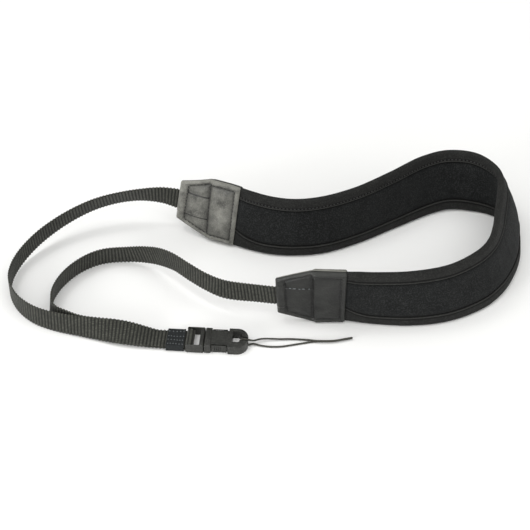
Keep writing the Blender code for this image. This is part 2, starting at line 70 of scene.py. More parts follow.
def blend(knots, t):  # centripetal Catmull-Rom
    (t0, p0), (t1, p1), (t2, p2), (t3, p3) = knots

    def mix(ta, a, tb, b):
        return a * ((tb - t) / (tb - ta)) + b * ((t - ta) / (tb - ta))

    a1, a2, a3 = mix(t0, p0, t1, p1), mix(t1, p1, t2, p2), mix(t2, p2, t3, p3)
    return mix(t1, mix(t0, a1, t2, a2), t2, mix(t1, a2, t3, a3))


def firstThree(value):
    return Vector(value[:3])


def smoothRun(values, step):
    first = values[0] * 2 - values[1]
    last = values[-1] * 2 - values[-2]
    padded = [first, *values, last]
    times = [0.0]
    for a, b in zip(padded, padded[1:]):
        times.append(times[-1] + math.sqrt((firstThree(b) - firstThree(a)).length))
    run = []
    for i in range(1, len(padded) - 2):
        knots = list(zip(times[i - 1:i + 3], padded[i - 1:i + 3]))
        length = (firstThree(padded[i + 1]) - firstThree(padded[i])).length
        count = max(1, round(length / step))
        span = times[i + 1] - times[i]
        run += [blend(knots, times[i] + span * k / count) for k in range(count)]
    return [*run, values[-1]]


def headingsOf(points):
    ends = [points[0], *points, points[-1]]
    return [(ends[i + 2] - ends[i]).normalized() for i in range(len(points))]


def leftOf(heading):
    return Vector((-heading.y, heading.x, 0)).normalized()


def place(along, back, rise):
    return Vector(((along - 0.5) * layout["length"], (back - 0.5) * layout["depth"], rise))


def lowestReach(halfWidth, thickness, lean):
    return halfWidth * math.cos(lean) + thickness / 2 * abs(math.sin(lean))


def rowControls(tables):  # rows are (along, back, lift, lean), shares of the layout
    leans, points = [], []
    for rows, riseOf in tables:
        for along, back, lift, lean in rows:
            leans.append(math.radians(lean))
            points.append(place(along, back, riseOf(lift, leans[-1])))
    acrosses = []
    for lean, heading in zip(leans, headingsOf(points)):
        acrosses.append(up * math.cos(lean) + leftOf(heading) * math.sin(lean))
    return points, acrosses


class Route:
    def __init__(self, points, acrosses, step):
        values = [Vector((*p, *a)) for p, a in zip(points, acrosses)]
        run = smoothRun(values, step)
        self.points = [Vector(v[:3]) for v in run]
        self.frames = []
        for heading, value in zip(headingsOf(self.points), run):
            across = Vector(value[3:])
            across = (across - heading * across.dot(heading)).normalized()
            self.frames.append((across, across.cross(heading)))
        self.marks = [0.0]
        for a, b in zip(self.points, self.points[1:]):
            self.marks.append(self.marks[-1] + (b - a).length)
        self.length = self.marks[-1]

    def lay(self, along, across=0.0, face=0.0):
        along = min(max(along, 0), self.length)
        i = min(bisect.bisect_right(self.marks, along) - 1, len(self.points) - 2)
        share = (along - self.marks[i]) / (self.marks[i + 1] - self.marks[i])
        point = self.points[i].lerp(self.points[i + 1], share)
        side = self.frames[i][0].lerp(self.frames[i + 1][0], share)
        out = self.frames[i][1].lerp(self.frames[i + 1][1], share)
        return point + side * across + out * face

    def acrossAt(self, along):
        return (self.lay(along, 1) - self.lay(along)).normalized()


# making and finishing pieces

def spread(start, end, step):
    count = max(2, round((end - start) / step))
    return [start + (end - start) * k / count for k in range(count + 1)]


def ease(value):
    value = min(max(value, 0), 1)
    return value * value * (3 - 2 * value)


def hump(distance, width):
    return math.exp(-(distance / width) ** 2)


def flatSlab(xs, ys):  # a closed flat slab, its z +1 on top and -1 below
    mesh = bmesh.new()
    bmesh.ops.create_grid(mesh, x_segments=len(xs) - 1, y_segments=len(ys) - 1, size=1)
    for vert in mesh.verts:
        vert.co.x = xs[round((vert.co.x + 1) / 2 * (len(xs) - 1))]
        vert.co.y = ys[round((vert.co.y + 1) / 2 * (len(ys) - 1))]
    bmesh.ops.solidify(mesh, geom=mesh.faces[:], thickness=1)
    middle = sum(vert.co.z for vert in mesh.verts) / len(mesh.verts)
    for vert in mesh.verts:
        vert.co.z = 1 if vert.co.z > middle else -1
    markFlat(mesh)
    return mesh


def markFlat(mesh):  # the flat pattern's own coordinates, kept for the cloth
    layer = mesh.loops.layers.uv.new("flat")
    for face in mesh.faces:
        for loop in face.loops:
            loop[layer].uv = loop.vert.co.xy


def stretchFlat(mesh, factor):  # gives the flat pattern its real width
    layer = mesh.loops.layers.uv["flat"]
    for face in mesh.faces:
        for loop in face.loops:
            loop[layer].uv.y *= factor


def shape(mesh, placeOf, withShading=False):  # a piece with painted shading also gets a value: painted shade above 0 and painted highlight below
    layer = mesh.verts.layers.float.new("paintedShading") if withShading else None
    for vert in mesh.verts:
        spot = placeOf(vert.co.x, vert.co.y, vert.co.z)
        if withShading:
            spot, vert[layer] = spot
        vert.co = spot


def finishPiece(name, mesh, material, nodes=(), sharp=50):
    bmesh.ops.recalc_face_normals(mesh, faces=mesh.faces)
    data = bpy.data.meshes.new(name)
    mesh.to_mesh(data)
    mesh.free()
    data.shade_smooth()
    data.set_sharp_from_angle(angle=math.radians(sharp))
    data.materials.append(material)
    piece = bpy.data.objects.new(name, data)
    bpy.context.scene.collection.objects.link(piece)
    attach(piece, "root")
    if nodes:
        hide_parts(*nodes)
    return piece


lieDown = Matrix.Rotation(math.pi / 2, 4, "Y")  # puts a sphere's poles at a stitch's ends


def addStitch(mesh, start, end, outward, width, height):
    along = end - start
    length = along.length
    along = along.normalized()
    outward = (outward - along * outward.dot(along)).normalized()
    side = outward.cross(along)
    turn = Matrix((along, side, outward)).transposed().to_4x4()
    size = Matrix.Diagonal((length / 2, width / 2, height / 2, 1))
    seat = Matrix.Translation((start + end) / 2) @ turn @ size @ lieDown
    bmesh.ops.create_uvsphere(mesh, u_segments=6, v_segments=8, radius=1, matrix=seat)


# materials

def node(tree, kind, inputs=(), **settings):
    made = tree.nodes.new(kind)
    for key, value in settings.items():
        setattr(made, key, value)
    for key, value in dict(inputs).items():
        if isinstance(value, bpy.types.NodeSocket):
            tree.links.new(value, made.inputs[key])
        else:
            made.inputs[key].default_value = value
    return made


def maths(tree, operation, a, b=0.0, c=0.0):
    return node(tree, "ShaderNodeMath", {0: a, 1: b, 2: c}, operation=operation).outputs[0]


def mixed(tree, share, a, b):
    inputs = {"Factor": share, "A": a, "B": b}
    made = tree.nodes.new("ShaderNodeMix")
    made.data_type = "RGBA"
    for label, value in inputs.items():
        socket = [s for s in made.inputs if s.name == label and s.enabled][0]
        if isinstance(value, bpy.types.NodeSocket):
            tree.links.new(value, socket)
        else:
            socket.default_value = value
    return [s for s in made.outputs if s.enabled][0]


def newGroup(name, inputs, outputs):
    group = bpy.data.node_groups.new(name, "ShaderNodeTree")
    for label, kind, value in inputs:
        socket = group.interface.new_socket(name=label, in_out="INPUT", socket_type=kind)
        if value is not None:
            socket.default_value = value
    for label, kind in outputs:
        group.interface.new_socket(name=label, in_out="OUTPUT", socket_type=kind)
    return group, group.nodes.new("NodeGroupInput"), group.nodes.new("NodeGroupOutput")


def makeWeave():  # threads over and under, height and thread mask from flat coordinates
    inputs = [
        ("Vector", "NodeSocketVector", None),
        ("Warp pitch", "NodeSocketFloat", 0.0004),
        ("Weft pitch", "NodeSocketFloat", 0.0004),
    ]
    outputs = [("Height", "NodeSocketFloat"), ("Gap", "NodeSocketFloat"), ("Pebble", "NodeSocketFloat")]
    group, start, end = newGroup("clothWeave", inputs, outputs)
    parts = node(group, "ShaderNodeSeparateXYZ", {0: start.outputs["Vector"]})
    waves = []
    for axis, pitch in (("X", "Warp pitch"), ("Y", "Weft pitch")):
        turns = maths(group, "DIVIDE", parts.outputs[axis], start.outputs[pitch])
        waves.append(maths(group, "SINE", maths(group, "MULTIPLY", turns, 2 * math.pi)))
    over = maths(group, "MULTIPLY", waves[0], waves[1])
    height = maths(group, "MULTIPLY_ADD", over, 0.5, 0.5)
    group.links.new(height, end.inputs["Height"])
    pebble = maths(group, "ABSOLUTE", over)
    group.links.new(pebble, end.inputs["Pebble"])
    gap = maths(group, "SUBTRACT", 1.0, pebble)
    group.links.new(maths(group, "POWER", gap, 3.0), end.inputs["Gap"])
    return group


clouds = {
    "slow": {"detail": 5.0, "roughness": 0.62, "low": 0.3, "high": 0.72},
    "fine": {"detail": 2.0, "roughness": 0.6, "low": 0.48, "high": 0.64, "scale": 1250.0},
}


def makeCloud(group, spot, scale, cloud):
    inputs = {"Vector": spot, "Scale": scale, "Detail": cloud["detail"], "Roughness": cloud["roughness"]}
    value = node(group, "ShaderNodeTexNoise", inputs).outputs["Fac"]
    limits = {"Value": value, "From Min": cloud["low"], "From Max": cloud["high"]}
    return node(group, "ShaderNodeMapRange", limits).outputs[0]


def makeMottle():  # slow and fine changes of tone, and specks of lint
    inputs = [
        ("Color", "NodeSocketColor", (0.5, 0.5, 0.5, 1)),
        ("Paler color", "NodeSocketColor", (0.5, 0.5, 0.5, 1)),
        ("Amount", "NodeSocketFloat", 0.3),
        ("Patch size", "NodeSocketFloat", 0.012),
        ("Lint", "NodeSocketFloat", 0.1),
    ]
    outputs = [("Color", "NodeSocketColor"), ("Mask", "NodeSocketFloat")]
    group, start, end = newGroup("mottle", inputs, outputs)
    spot = node(group, "ShaderNodeTexCoord").outputs["Object"]
    scale = maths(group, "DIVIDE", 1.0, start.outputs["Patch size"])
    tone = makeCloud(group, spot, scale, clouds["slow"])
    speck = makeCloud(group, spot, clouds["fine"]["scale"], clouds["fine"])
    mask = maths(group, "MULTIPLY", tone, start.outputs["Amount"])
    lint = maths(group, "MULTIPLY", speck, start.outputs["Lint"])
    total = maths(group, "MINIMUM", maths(group, "ADD", mask, lint), 1.0)
    color = mixed(group, total, start.outputs["Color"], start.outputs["Paler color"])
    group.links.new(color, end.inputs["Color"])
    group.links.new(mask, end.inputs["Mask"])
    return group


def makeSeamShading():  # paints shade into grooves and a highlight onto ridges by the piece's painted-shading value
    inputs = [
        ("Color", "NodeSocketColor", (0.5, 0.5, 0.5, 1)),
        ("Dark", "NodeSocketColor", (0.0, 0.0, 0.0, 1)),
        ("Light", "NodeSocketColor", (1.0, 1.0, 1.0, 1)),
    ]
    group, start, end = newGroup("seamShading", inputs, [("Color", "NodeSocketColor")])
    paintedShading = node(group, "ShaderNodeAttribute", attribute_name="paintedShading").outputs["Fac"]
    dark = mixed(group, maths(group, "MAXIMUM", paintedShading, 0.0), start.outputs["Color"], start.outputs["Dark"])
    light = maths(group, "MAXIMUM", maths(group, "MULTIPLY", paintedShading, -1.0), 0.0)
    group.links.new(mixed(group, light, dark, start.outputs["Light"]), end.inputs["Color"])
    return group


def makeGrain():  # pebbled skin of leatherette and of moulded plastic
    inputs = [("Cell size", "NodeSocketFloat", 0.0006), ("Softness", "NodeSocketFloat", 0.5)]
    outputs = [("Height", "NodeSocketFloat")]
    group, start, end = newGroup("pebbleGrain", inputs, outputs)
    spot = node(group, "ShaderNodeTexCoord").outputs["Object"]
    scale = maths(group, "DIVIDE", 1.0, start.outputs["Cell size"])
    cells = node(group, "ShaderNodeTexVoronoi", {"Vector": spot, "Scale": scale}, feature="SMOOTH_F1")
    creases = node(group, "ShaderNodeTexNoise", {"Vector": spot, "Scale": scale, "Detail": 3.0})
    low = maths(group, "SUBTRACT", 1.0, cells.outputs["Distance"])
    height = maths(group, "MULTIPLY_ADD", creases.outputs["Fac"], start.outputs["Softness"], low)
    group.links.new(height, end.inputs["Height"])
    return group


weave, mottle, seamShading, grain = makeWeave(), makeMottle(), makeSeamShading(), makeGrain()


def useGroup(tree, group, inputs):
    made = tree.nodes.new("ShaderNodeGroup")
    made.node_tree = group
    for key, value in inputs.items():
        if isinstance(value, bpy.types.NodeSocket):
            tree.links.new(value, made.inputs[key])
        else:
            made.inputs[key].default_value = value
    return made.outputs


materialSockets = {
    "roughness": "Roughness", "shine": "Specular IOR Level",
    "sheen": "Sheen Weight", "sheenRoughness": "Sheen Roughness",
}


def newMaterial(name, looks):
    material = bpy.data.materials.new(name)
    material.use_nodes = True
    tree = material.node_tree
    shader = tree.nodes["Principled BSDF"]
    for key, socket in materialSockets.items():
        if key in looks:
            shader.inputs[socket].default_value = looks[key]
    return material, tree, shader


def bump(tree, shader, height, distance):
    made = node(tree, "ShaderNodeBump", {"Height": height, "Distance": distance, "Strength": 1.0})
    tree.links.new(made.outputs[0], shader.inputs["Normal"])


def rgba(color):
    return (*color, 1.0)


def flatCoordinates(tree):
    return node(tree, "ShaderNodeUVMap", uv_map="flat").outputs[0]


def mottled(tree, looks):
    colors = {"Color": rgba(looks["color"]), "Paler color": rgba(looks["paler"])}
    amounts = {"Amount": looks["tone"], "Patch size": looks["patch"], "Lint": looks["lint"]}
    return useGroup(tree, mottle, {**colors, **amounts})


def pebbled(tree, shader, looks, paler):  # grain, and rougher where the mottle is paler
    pebbles = useGroup(tree, grain, {"Cell size": looks["cell"], "Softness": looks["softness"]})
    rough = maths(tree, "MULTIPLY_ADD", paler, looks["wornRoughness"], looks["roughness"])
    tree.links.new(rough, shader.inputs["Roughness"])
    bump(tree, shader, pebbles["Height"], looks["relief"])


def seamed(tree, shader, color, light):  # painted shade in seams and painted highlight on ridges, by the painted-shading value
    withShading = useGroup(tree, seamShading, {"Color": color, "Dark": rgba(seamShadeColor), "Light": rgba(light)})
    tree.links.new(withShading["Color"], shader.inputs["Base Color"])


padLooks = {
    "color": (0.0050, 0.0056, 0.0058), "paler": (0.029, 0.0310, 0.0305), "roughness": 0.9,
    "knit": 0.00052, "row": 0.00040, "patch": 0.014, "lint": 0.7,
}
edgeLooks = {
    "color": (0.0115, 0.0117, 0.0112), "paler": (0.045, 0.0455, 0.0425), "roughness": 0.85,
    "knit": 0.00040, "row": 0.00055, "patch": 0.010, "lint": 0.45,
}
wrapLooks = {
    "color": (0.014, 0.016, 0.017), "paler": (0.035, 0.038, 0.039), "roughness": 0.7,
    "knit": 0.0008, "row": 0.0009, "patch": 0.004, "lint": 0.5,
}
clothLooks = {  # the same for every cloth
    "sheen": 0.03, "sheenRoughness": 0.5, "shine": 0.14, "tone": 0.22,
    "gapShade": 0.45, "gapShadeColor": (0.004, 0.004, 0.0045), "ridgeLight": 1.5, "relief": 0.00007,
}
# colour of the painted shade in seam grooves and creases
seamShadeColor = (0.0015, 0.0015, 0.0015)


def makeClothMaterial(name, looks):
    looks = {**clothLooks, **looks}
    material, tree, shader = newMaterial(name, looks)
    flat = flatCoordinates(tree)
    pitches = {"Warp pitch": looks["knit"], "Weft pitch": looks["row"]}
    threads = useGroup(tree, weave, {"Vector": flat, **pitches})
    # painted shade in the gaps between threads
    shade = maths(tree, "MULTIPLY", threads["Gap"], looks["gapShade"])
    color = mixed(tree, shade, mottled(tree, looks)["Color"], rgba(looks["gapShadeColor"]))
    seamed(tree, shader, color, tuple(tone * looks["ridgeLight"] for tone in looks["paler"]))
    bump(tree, shader, threads["Height"], looks["relief"])
    return material


padCloth = makeClothMaterial("padCloth", padLooks)
edgeCloth = makeClothMaterial("edgeCloth", edgeLooks)
wrapCloth = makeClothMaterial("wrapCloth", wrapLooks)

leatherLooks = {  # the same for both plies
    # the strong mottle is partly tone that differs at random and partly painted highlight
    "cell": 0.0008, "softness": 0.6, "relief": 0.00018, "shine": 0.36,
    "tone": 0.75, "patch": 0.0085, "lint": 0.22, "rimHighlight": 0.5, "wornRoughness": 0.15,
}
outerLooks = {"color": (0.0063, 0.0066, 0.0062), "paler": (0.031, 0.032, 0.029), "roughness": 0.38}
# the inner ply's much paler colours are painted highlight: a lit copy of the leatherette
innerHighlightLooks = {"color": (0.029, 0.029, 0.026), "paler": (0.270, 0.268, 0.240), "roughness": 0.40}


def makeLeather(name, looks):
    looks = {**leatherLooks, **looks}
    material, tree, shader = newMaterial(name, looks)
    tones = mottled(tree, looks)
    rim = node(tree, "ShaderNodeAttribute", attribute_name="rim").outputs["Fac"]
    # rims made paler: painted highlight along the leather's rounded edges
    paler = mixed(tree, maths(tree, "MULTIPLY", rim, looks["rimHighlight"]), tones["Color"], rgba(looks["paler"]))
    seamed(tree, shader, paler, looks["paler"])
    pebbled(tree, shader, looks, tones["Mask"])
    return material


outerLeather = makeLeather("leatherette", outerLooks)
innerHighlightLeather = makeLeather("innerLeatheretteHighlight", innerHighlightLooks)

webbingLooks = {
    "color": (0.030, 0.0310, 0.0255), "groove": (0.0050, 0.0052, 0.0043), "paler": (0.092, 0.0940, 0.077),
    "roughness": 0.75, "sheen": 0.1, "sheenRoughness": 0.4, "shine": 0.25,
    "tone": 0.55, "patch": 0.0035, "lint": 0.8, "valleyPower": 1.5, "valleyShade": 0.8,
    "bead": 0.0022, "beadPower": 0.55, "beadShade": 0.8, "relief": 0.00025,
}


def makeWebbingMaterial(pitch):
    looks = webbingLooks
    material, tree, shader = newMaterial("ribbedWebbing", looks)
    flat = flatCoordinates(tree)
    threads = useGroup(tree, weave, {"Vector": flat, "Warp pitch": pitch * 2, "Weft pitch": looks["bead"]})
    along = node(tree, "ShaderNodeSeparateXYZ", {0: flat}).outputs["X"]
    # painted shade in the rib valleys, in step with the ribs' relief
    turn = maths(tree, "MULTIPLY", maths(tree, "DIVIDE", along, pitch), 2 * math.pi)
    valley = maths(tree, "MULTIPLY_ADD", maths(tree, "COSINE", turn), 0.5, 0.5)
    valley = maths(tree, "MULTIPLY", maths(tree, "POWER", valley, looks["valleyPower"]), looks["valleyShade"])
    color = mixed(tree, valley, mottled(tree, looks)["Color"], rgba(looks["groove"]))
    # painted shade between the beads of the weave
    between = maths(tree, "POWER", threads["Gap"], looks["beadPower"])
    between = maths(tree, "MULTIPLY", between, looks["beadShade"])
    color = mixed(tree, between, color, rgba(looks["groove"]))
    tree.links.new(color, shader.inputs["Base Color"])
    bump(tree, shader, threads["Pebble"], looks["relief"])
    return material


threadLooks = {
    "dark": (0.012, 0.012, 0.012), "pale": (0.16, 0.175, 0.18), "roughness": 0.6,
    "twist": 900.0, "waver": 1.5, "shade": 0.6, "relief": 0.00005,
}


def makeThread(name, color):
    looks = threadLooks
    material, tree, shader = newMaterial(name, looks)
    spot = node(tree, "ShaderNodeTexCoord").outputs["Object"]
    twists = {"Vector": spot, "Scale": looks["twist"], "Distortion": looks["waver"]}
    twist = node(tree, "ShaderNodeTexWave", twists)
    # painted shade in the twist's grooves, in step with its bump
    darker = tuple(c * looks["shade"] for c in color)
    tree.links.new(mixed(tree, twist.outputs["Fac"], rgba(color), rgba(darker)), shader.inputs["Base Color"])
    bump(tree, shader, twist.outputs["Fac"], looks["relief"])
    return material


darkThread = makeThread("blackThread", threadLooks["dark"])
paleThread = makeThread("paleThread", threadLooks["pale"])

plasticLooks = {
    "color": (0.0085, 0.0088, 0.0075), "paler": (0.052, 0.053, 0.046), "roughness": 0.4, "wornRoughness": 0.2,
    "cell": 0.0004, "softness": 0.8, "relief": 0.00009, "tone": 0.25, "patch": 0.004, "lint": 0.6,
}


def makePlastic():
    material, tree, shader = newMaterial("mouldedPlastic", plasticLooks)
    tones = mottled(tree, plasticLooks)
    tree.links.new(tones["Color"], shader.inputs["Base Color"])
    pebbled(tree, shader, plasticLooks, tones["Mask"])
    return material


mouldedPlastic = makePlastic()
print("materials made")

# thin cord: from one end at the tip, round the ring's rim, and back to the tip
cord = {
    "diameter": 0.0012, "step": 0.00018, "lineStep": 0.0006, "sides": 12, "endSize": 0.25,
    "strands": 8, "lay": 0.0030, "relief": 0.06, "braidPower": 0.6, "braidRelief": 0.00006,
    "low": (0.014, 0.0135, 0.011), "high": (0.055, 0.053, 0.041), "roughness": 0.7,
    "route": [
        (0.0501, -0.0654, 0.0017), (0.0454, -0.0667, 0.0018), (0.0391, -0.0683, 0.0019),
        (0.0354, -0.0686, 0.0019), (0.0311, -0.0686, 0.0019), (0.0268, -0.0683, 0.0018),
        (0.0231, -0.0668, 0.0010), (0.0176, -0.0661, 0.0008), (0.0114, -0.0659, 0.0010),
        (0.0052, -0.0662, 0.0012), (0.0008, -0.0663, 0.0015), (-0.0029, -0.0665, 0.0018),
        (-0.0060, -0.0670, 0.0021), (-0.0084, -0.0679, 0.0024), (-0.0103, -0.0690, 0.0027),
        (-0.0116, -0.0699, 0.0034), (-0.0127, -0.0706, 0.0042), (-0.0140, -0.0709, 0.0049),
        (-0.0155, -0.0709, 0.0053), (-0.0170, -0.0707, 0.0055), (-0.0187, -0.0706, 0.0048),
        (-0.0194, -0.0706, 0.0031), (-0.0187, -0.0707, 0.0014), (-0.0170, -0.0708, 0.0007),
        (-0.0155, -0.0709, 0.0007), (-0.0140, -0.0708, 0.0008), (-0.0127, -0.0705, 0.0010),
        (-0.0113, -0.0704, 0.0012), (-0.0096, -0.0708, 0.0011), (-0.0066, -0.0717, 0.0009),
        (-0.0029, -0.0723, 0.00065), (0.0014, -0.0726, 0.00065), (0.0058, -0.0724, 0.00065),
        (0.0113, -0.0713, 0.00065), (0.0175, -0.0698, 0.00065), (0.0231, -0.0686, 0.00065),
        (0.0268, -0.0680, 0.00065), (0.0311, -0.0678, 0.00065), (0.0355, -0.0677, 0.00065),
        (0.0392, -0.0674, 0.00065), (0.0454, -0.0659, 0.00065), (0.0501, -0.0648, 0.00065),
    ],
}


def makeCordMaterial():
    material, tree, shader = newMaterial("braidedCord", cord)
    flat = flatCoordinates(tree)
    parts = node(tree, "ShaderNodeSeparateXYZ", {0: flat})
    along = maths(tree, "DIVIDE", parts.outputs["X"], cord["lay"])
    around = maths(tree, "MULTIPLY", parts.outputs["Y"], cord["strands"] / 2)
    waves = []
    for way in ("ADD", "SUBTRACT"):
        turns = maths(tree, way, maths(tree, "MULTIPLY", along, cord["strands"] / 2), around)
        waves.append(maths(tree, "SINE", maths(tree, "MULTIPLY", turns, 2 * math.pi)))
    over = maths(tree, "ABSOLUTE", maths(tree, "MULTIPLY", waves[0], waves[1]))
    height = maths(tree, "POWER", over, cord["braidPower"])
    # painted shade in the braid's valleys, paler on its crests, in step with the bump
    color = mixed(tree, height, rgba(cord["low"]), rgba(cord["high"]))
    tree.links.new(color, shader.inputs["Base Color"])
    bump(tree, shader, height, cord["braidRelief"])
    return material


def makeCord():
    line = smoothRun([Vector(p) for p in cord["route"]], cord["lineStep"])
    sides = [Vector((0, 1, 0))] * len(line)
    route = Route(line, sides, cord["step"])
    radius = cord["diameter"] / 2
    mesh = flatSlab(spread(0, route.length, cord["step"]), spread(0, 1, 1 / cord["sides"]))
    inner = [vert for vert in mesh.verts if vert.co.z < 0]
    bmesh.ops.delete(mesh, geom=inner, context="VERTS")

    def onTube(along, share, side):
        angle = share * 2 * math.pi
        turns = along / cord["lay"] * cord["strands"] / 2
        around = share * cord["strands"] / 2
        ridge = abs(math.sin(math.pi * (turns + around)) * math.sin(math.pi * (turns - around)))
        atEnd = min(along, route.length - along) / radius
        size = radius * math.sqrt(min(1, cord["endSize"] + atEnd)) * (1 - cord["relief"] * (1 - ridge))
        return route.lay(along, size * math.cos(angle), size * math.sin(angle))

    shape(mesh, onTube)
    bmesh.ops.remove_doubles(mesh, verts=mesh.verts, dist=1e-6)
    bmesh.ops.holes_fill(mesh, edges=[edge for edge in mesh.edges if edge.is_boundary])
    piece = finishPiece("cordLoop", mesh, makeCordMaterial(), ["cord_loop"])
    path = [tuple(route.lay(mark)) for mark in spread(0, route.length, cord["lineStep"])]
    print("cord length", route.length)


makeCord()
print("cord made")

# padded neck piece
pad = {
    "width": 0.0430, "thickness": 0.0046, "pinched": 0.0030, "pinchLength": 0.0080,
    "seam": 0.0138, "foldWall": 0.0006, "bandFlat": 0.009, "cornerRise": 0.0045, "cornerLength": 0.0200,
    "panelTuck": 0.0010, "tuckDepth": 1.6, "panelPinch": 0.0007, "pinchWidth": 0.0011, "crown": 0.0004,
    "crownWidth": 0.006, "pressLength": 0.003, "ridge": 0.00038, "ridgeWidth": 0.0011,
    # the groove and ridge shading amounts are painted shade and painted highlight on the bands
    "grooveFrom": 0.0004, "grooveWidth": 0.0005, "grooveDepth": 0.0002, "grooveShade": 0.95, "ridgeHighlight": 0.4,
    "panelShadeWidth": 0.0010, "stitchPitch": 0.0024, "stitchLength": 0.0015, "stitchFromFold": 0.0015,
    "stitchWidth": 0.0008, "stitchHeight": 0.0005, "routeStep": 0.001, "step": 0.0015,
    "bow": [(0.42, 0.00), (0.53, 0.08), (0.60, 0.07), (0.70, 0.00)],
    "rows": [
        (0.458, 0.669, 0, 10), (0.500, 0.634, 0, 8), (0.546, 0.621, 0, 6), (0.600, 0.637, 0, 7),
        (0.669, 0.703, 0, 7), (0.745, 0.812, 0, 10), (0.815, 0.918, 0, 16), (0.858, 0.955, 0, 17),
        (0.903, 0.944, 0, 13), (0.946, 0.880, 0, -3), (0.969, 0.785, 0, -19), (0.966, 0.680, 0, -22),
        (0.958, 0.575, 0, -24), (0.944, 0.466, 0, -20), (0.924, 0.371, 0, -15), (0.893, 0.291, 0, -11),
        (0.829, 0.205, 0, -5), (0.760, 0.173, 0, -1), (0.694, 0.173, 0, 3),
    ],
}
patch = {
    "length": 0.0430, "taper": 0.0215, "skive": 0.0030, "width": 0.0430, "endWidth": 0.0280,
    "ply": 0.0009, "thinnest": 0.0001, "step": 0.00038, "edge": 0.0007, "edgeFall": 0.8, "corner": 0.0008,
    "padClear": 0.0004, "strapRamp": 0.0014, "seamInset": 0.0032, "seamStart": 0.0058, "crossAt": 0.0224,
    # the seam, crease and area shading amounts are painted shade
    "seamDepth": 0.00034, "seamWidth": 0.0006, "seamShading": 0.12, "puff": 0.0011, "puffEdge": 0.0018,
    "wave": 0.00026, "waveSize": 0.0045, "waveEdge": 0.003, "rimWidth": 0.0008,
    "creaseFrom": 0.0004, "creaseWidth": 0.0004, "creaseDepth": 0.0005, "creaseShade": 0.9,
    "withinSeams": {"puffWidth": 0.0026, "paintedShading": 0.62, "shadeWidth": 0.0036},
    "border": {"puffWidth": 0.0012, "paintedShading": 0.12, "shadeWidth": 0.0010},
    "stitchPitch": 0.0026, "stitchLength": 0.0016, "stitchWidth": 0.0009, "stitchHeight": 0.0005,
    "stitchLift": 0.00016,
    "farRows": [(0.316, 0.798, 0.055, 10), (0.364, 0.758, 0.020, 12), (0.420, 0.707, 0.012, 12)],
    "nearRows": [(0.636, 0.182, 0.010, 6), (0.571, 0.188, 0, 4), (0.509, 0.200, -0.025, 2)],
}


def padRise(lift, lean):
    return lowestReach(pad["width"] / 2, pad["thickness"], lean) + lift * pad["width"]


def patchRise(lift, lean):
    thickness = pad["pinched"] + 2 * (layout["gap"] + patch["ply"])
    return lowestReach(patch["width"] / 2, thickness, lean) + lift * pad["width"]


padTables = [(patch["farRows"], patchRise), (pad["rows"], padRise), (patch["nearRows"], patchRise)]
padRoute = Route(*rowControls(padTables), pad["routeStep"])
padStart = patch["taper"] + patch["skive"] + patch["padClear"]
padSpan = (padStart, padRoute.length - padStart)


def fromEnd(along):
    return min(along, padRoute.length - along)


def padHalf(along):  # pinched flat inside a patch, full past it
    swell = ease((fromEnd(along) - patch["length"]) / pad["pinchLength"])
    return (pad["pinched"] + (pad["thickness"] - pad["pinched"]) * swell) / 2


def padBow(along):
    share = along / padRoute.length
    for (a, low), (b, high) in zip(pad["bow"], pad["bow"][1:]):
        if a <= share <= b:
            return (low + (high - low) * ease((share - a) / (b - a))) * pad["width"]
    return 0


def onPad(along, across, face):
    bow = padBow(along) * (1 - (across / (pad["width"] / 2)) ** 2)
    return padRoute.lay(along, across, face + bow)


def lowSeam(along):  # the lower seam climbs as it nears a patch
    left = 1 - max(fromEnd(along) - patch["length"], 0) / pad["cornerLength"]
    return pad["seam"] - pad["cornerRise"] * max(left, 0) ** 2


def unpressed(along):  # nothing stands proud of the pad under a patch
    return ease((fromEnd(along) - patch["length"]) / pad["pressLength"])


puff = {
    "scale": 20, "pressure": 2.5, "frames": 16, "quality": 6, "stretch": 30, "bend": 2,
    "cap": 0.0007, "held": 0.3,
}


def puffCloth(piece):  # a short cloth simulation under pressure, held along its sewn edge
    scale, points = puff["scale"], piece.data.vertices
    start = [vert.co.copy() for vert in points]
    paintedShading = piece.data.attributes["paintedShading"].data
    flat = piece.data.uv_layers["flat"].uv
    covered = {loop.vertex_index for loop in piece.data.loops if unpressed(flat[loop.index].vector.x) < 1}
    held = [i for i in range(len(points)) if paintedShading[i].value > puff["held"] or i in covered]
    piece.vertex_groups.new(name="sewn").add(held, 1, "REPLACE")
    piece.data.transform(Matrix.Scale(scale, 4))
    cloth = piece.modifiers.new("cloth", "CLOTH")
    cloth.settings.vertex_group_mass = "sewn"
    cloth.settings.quality = puff["quality"]
    cloth.settings.tension_stiffness = puff["stretch"]
    cloth.settings.compression_stiffness = puff["stretch"]
    cloth.settings.bending_stiffness = puff["bend"]
    cloth.settings.use_pressure = True
    cloth.settings.uniform_pressure_force = puff["pressure"]
    cloth.settings.effector_weights.gravity = 0
    cloth.point_cache.frame_end = puff["frames"]
    for moment in range(1, puff["frames"] + 1):
        bpy.context.scene.frame_set(moment)
    evaluated = piece.evaluated_get(bpy.context.evaluated_depsgraph_get())
    moves = [vert.co / scale - at for vert, at in zip(evaluated.data.vertices, start)]
    piece.modifiers.clear()
    piece.vertex_groups.clear()
    bpy.context.scene.frame_set(1)
    largest = max(move.length for move in moves)
    share = min(1, puff["cap"] / largest)
    for i, (vert, at, move) in enumerate(zip(points, start, moves)):
        vert.co = at if i in covered else at + move * share
    piece.data.update()
    print("pad puffed", largest, share)


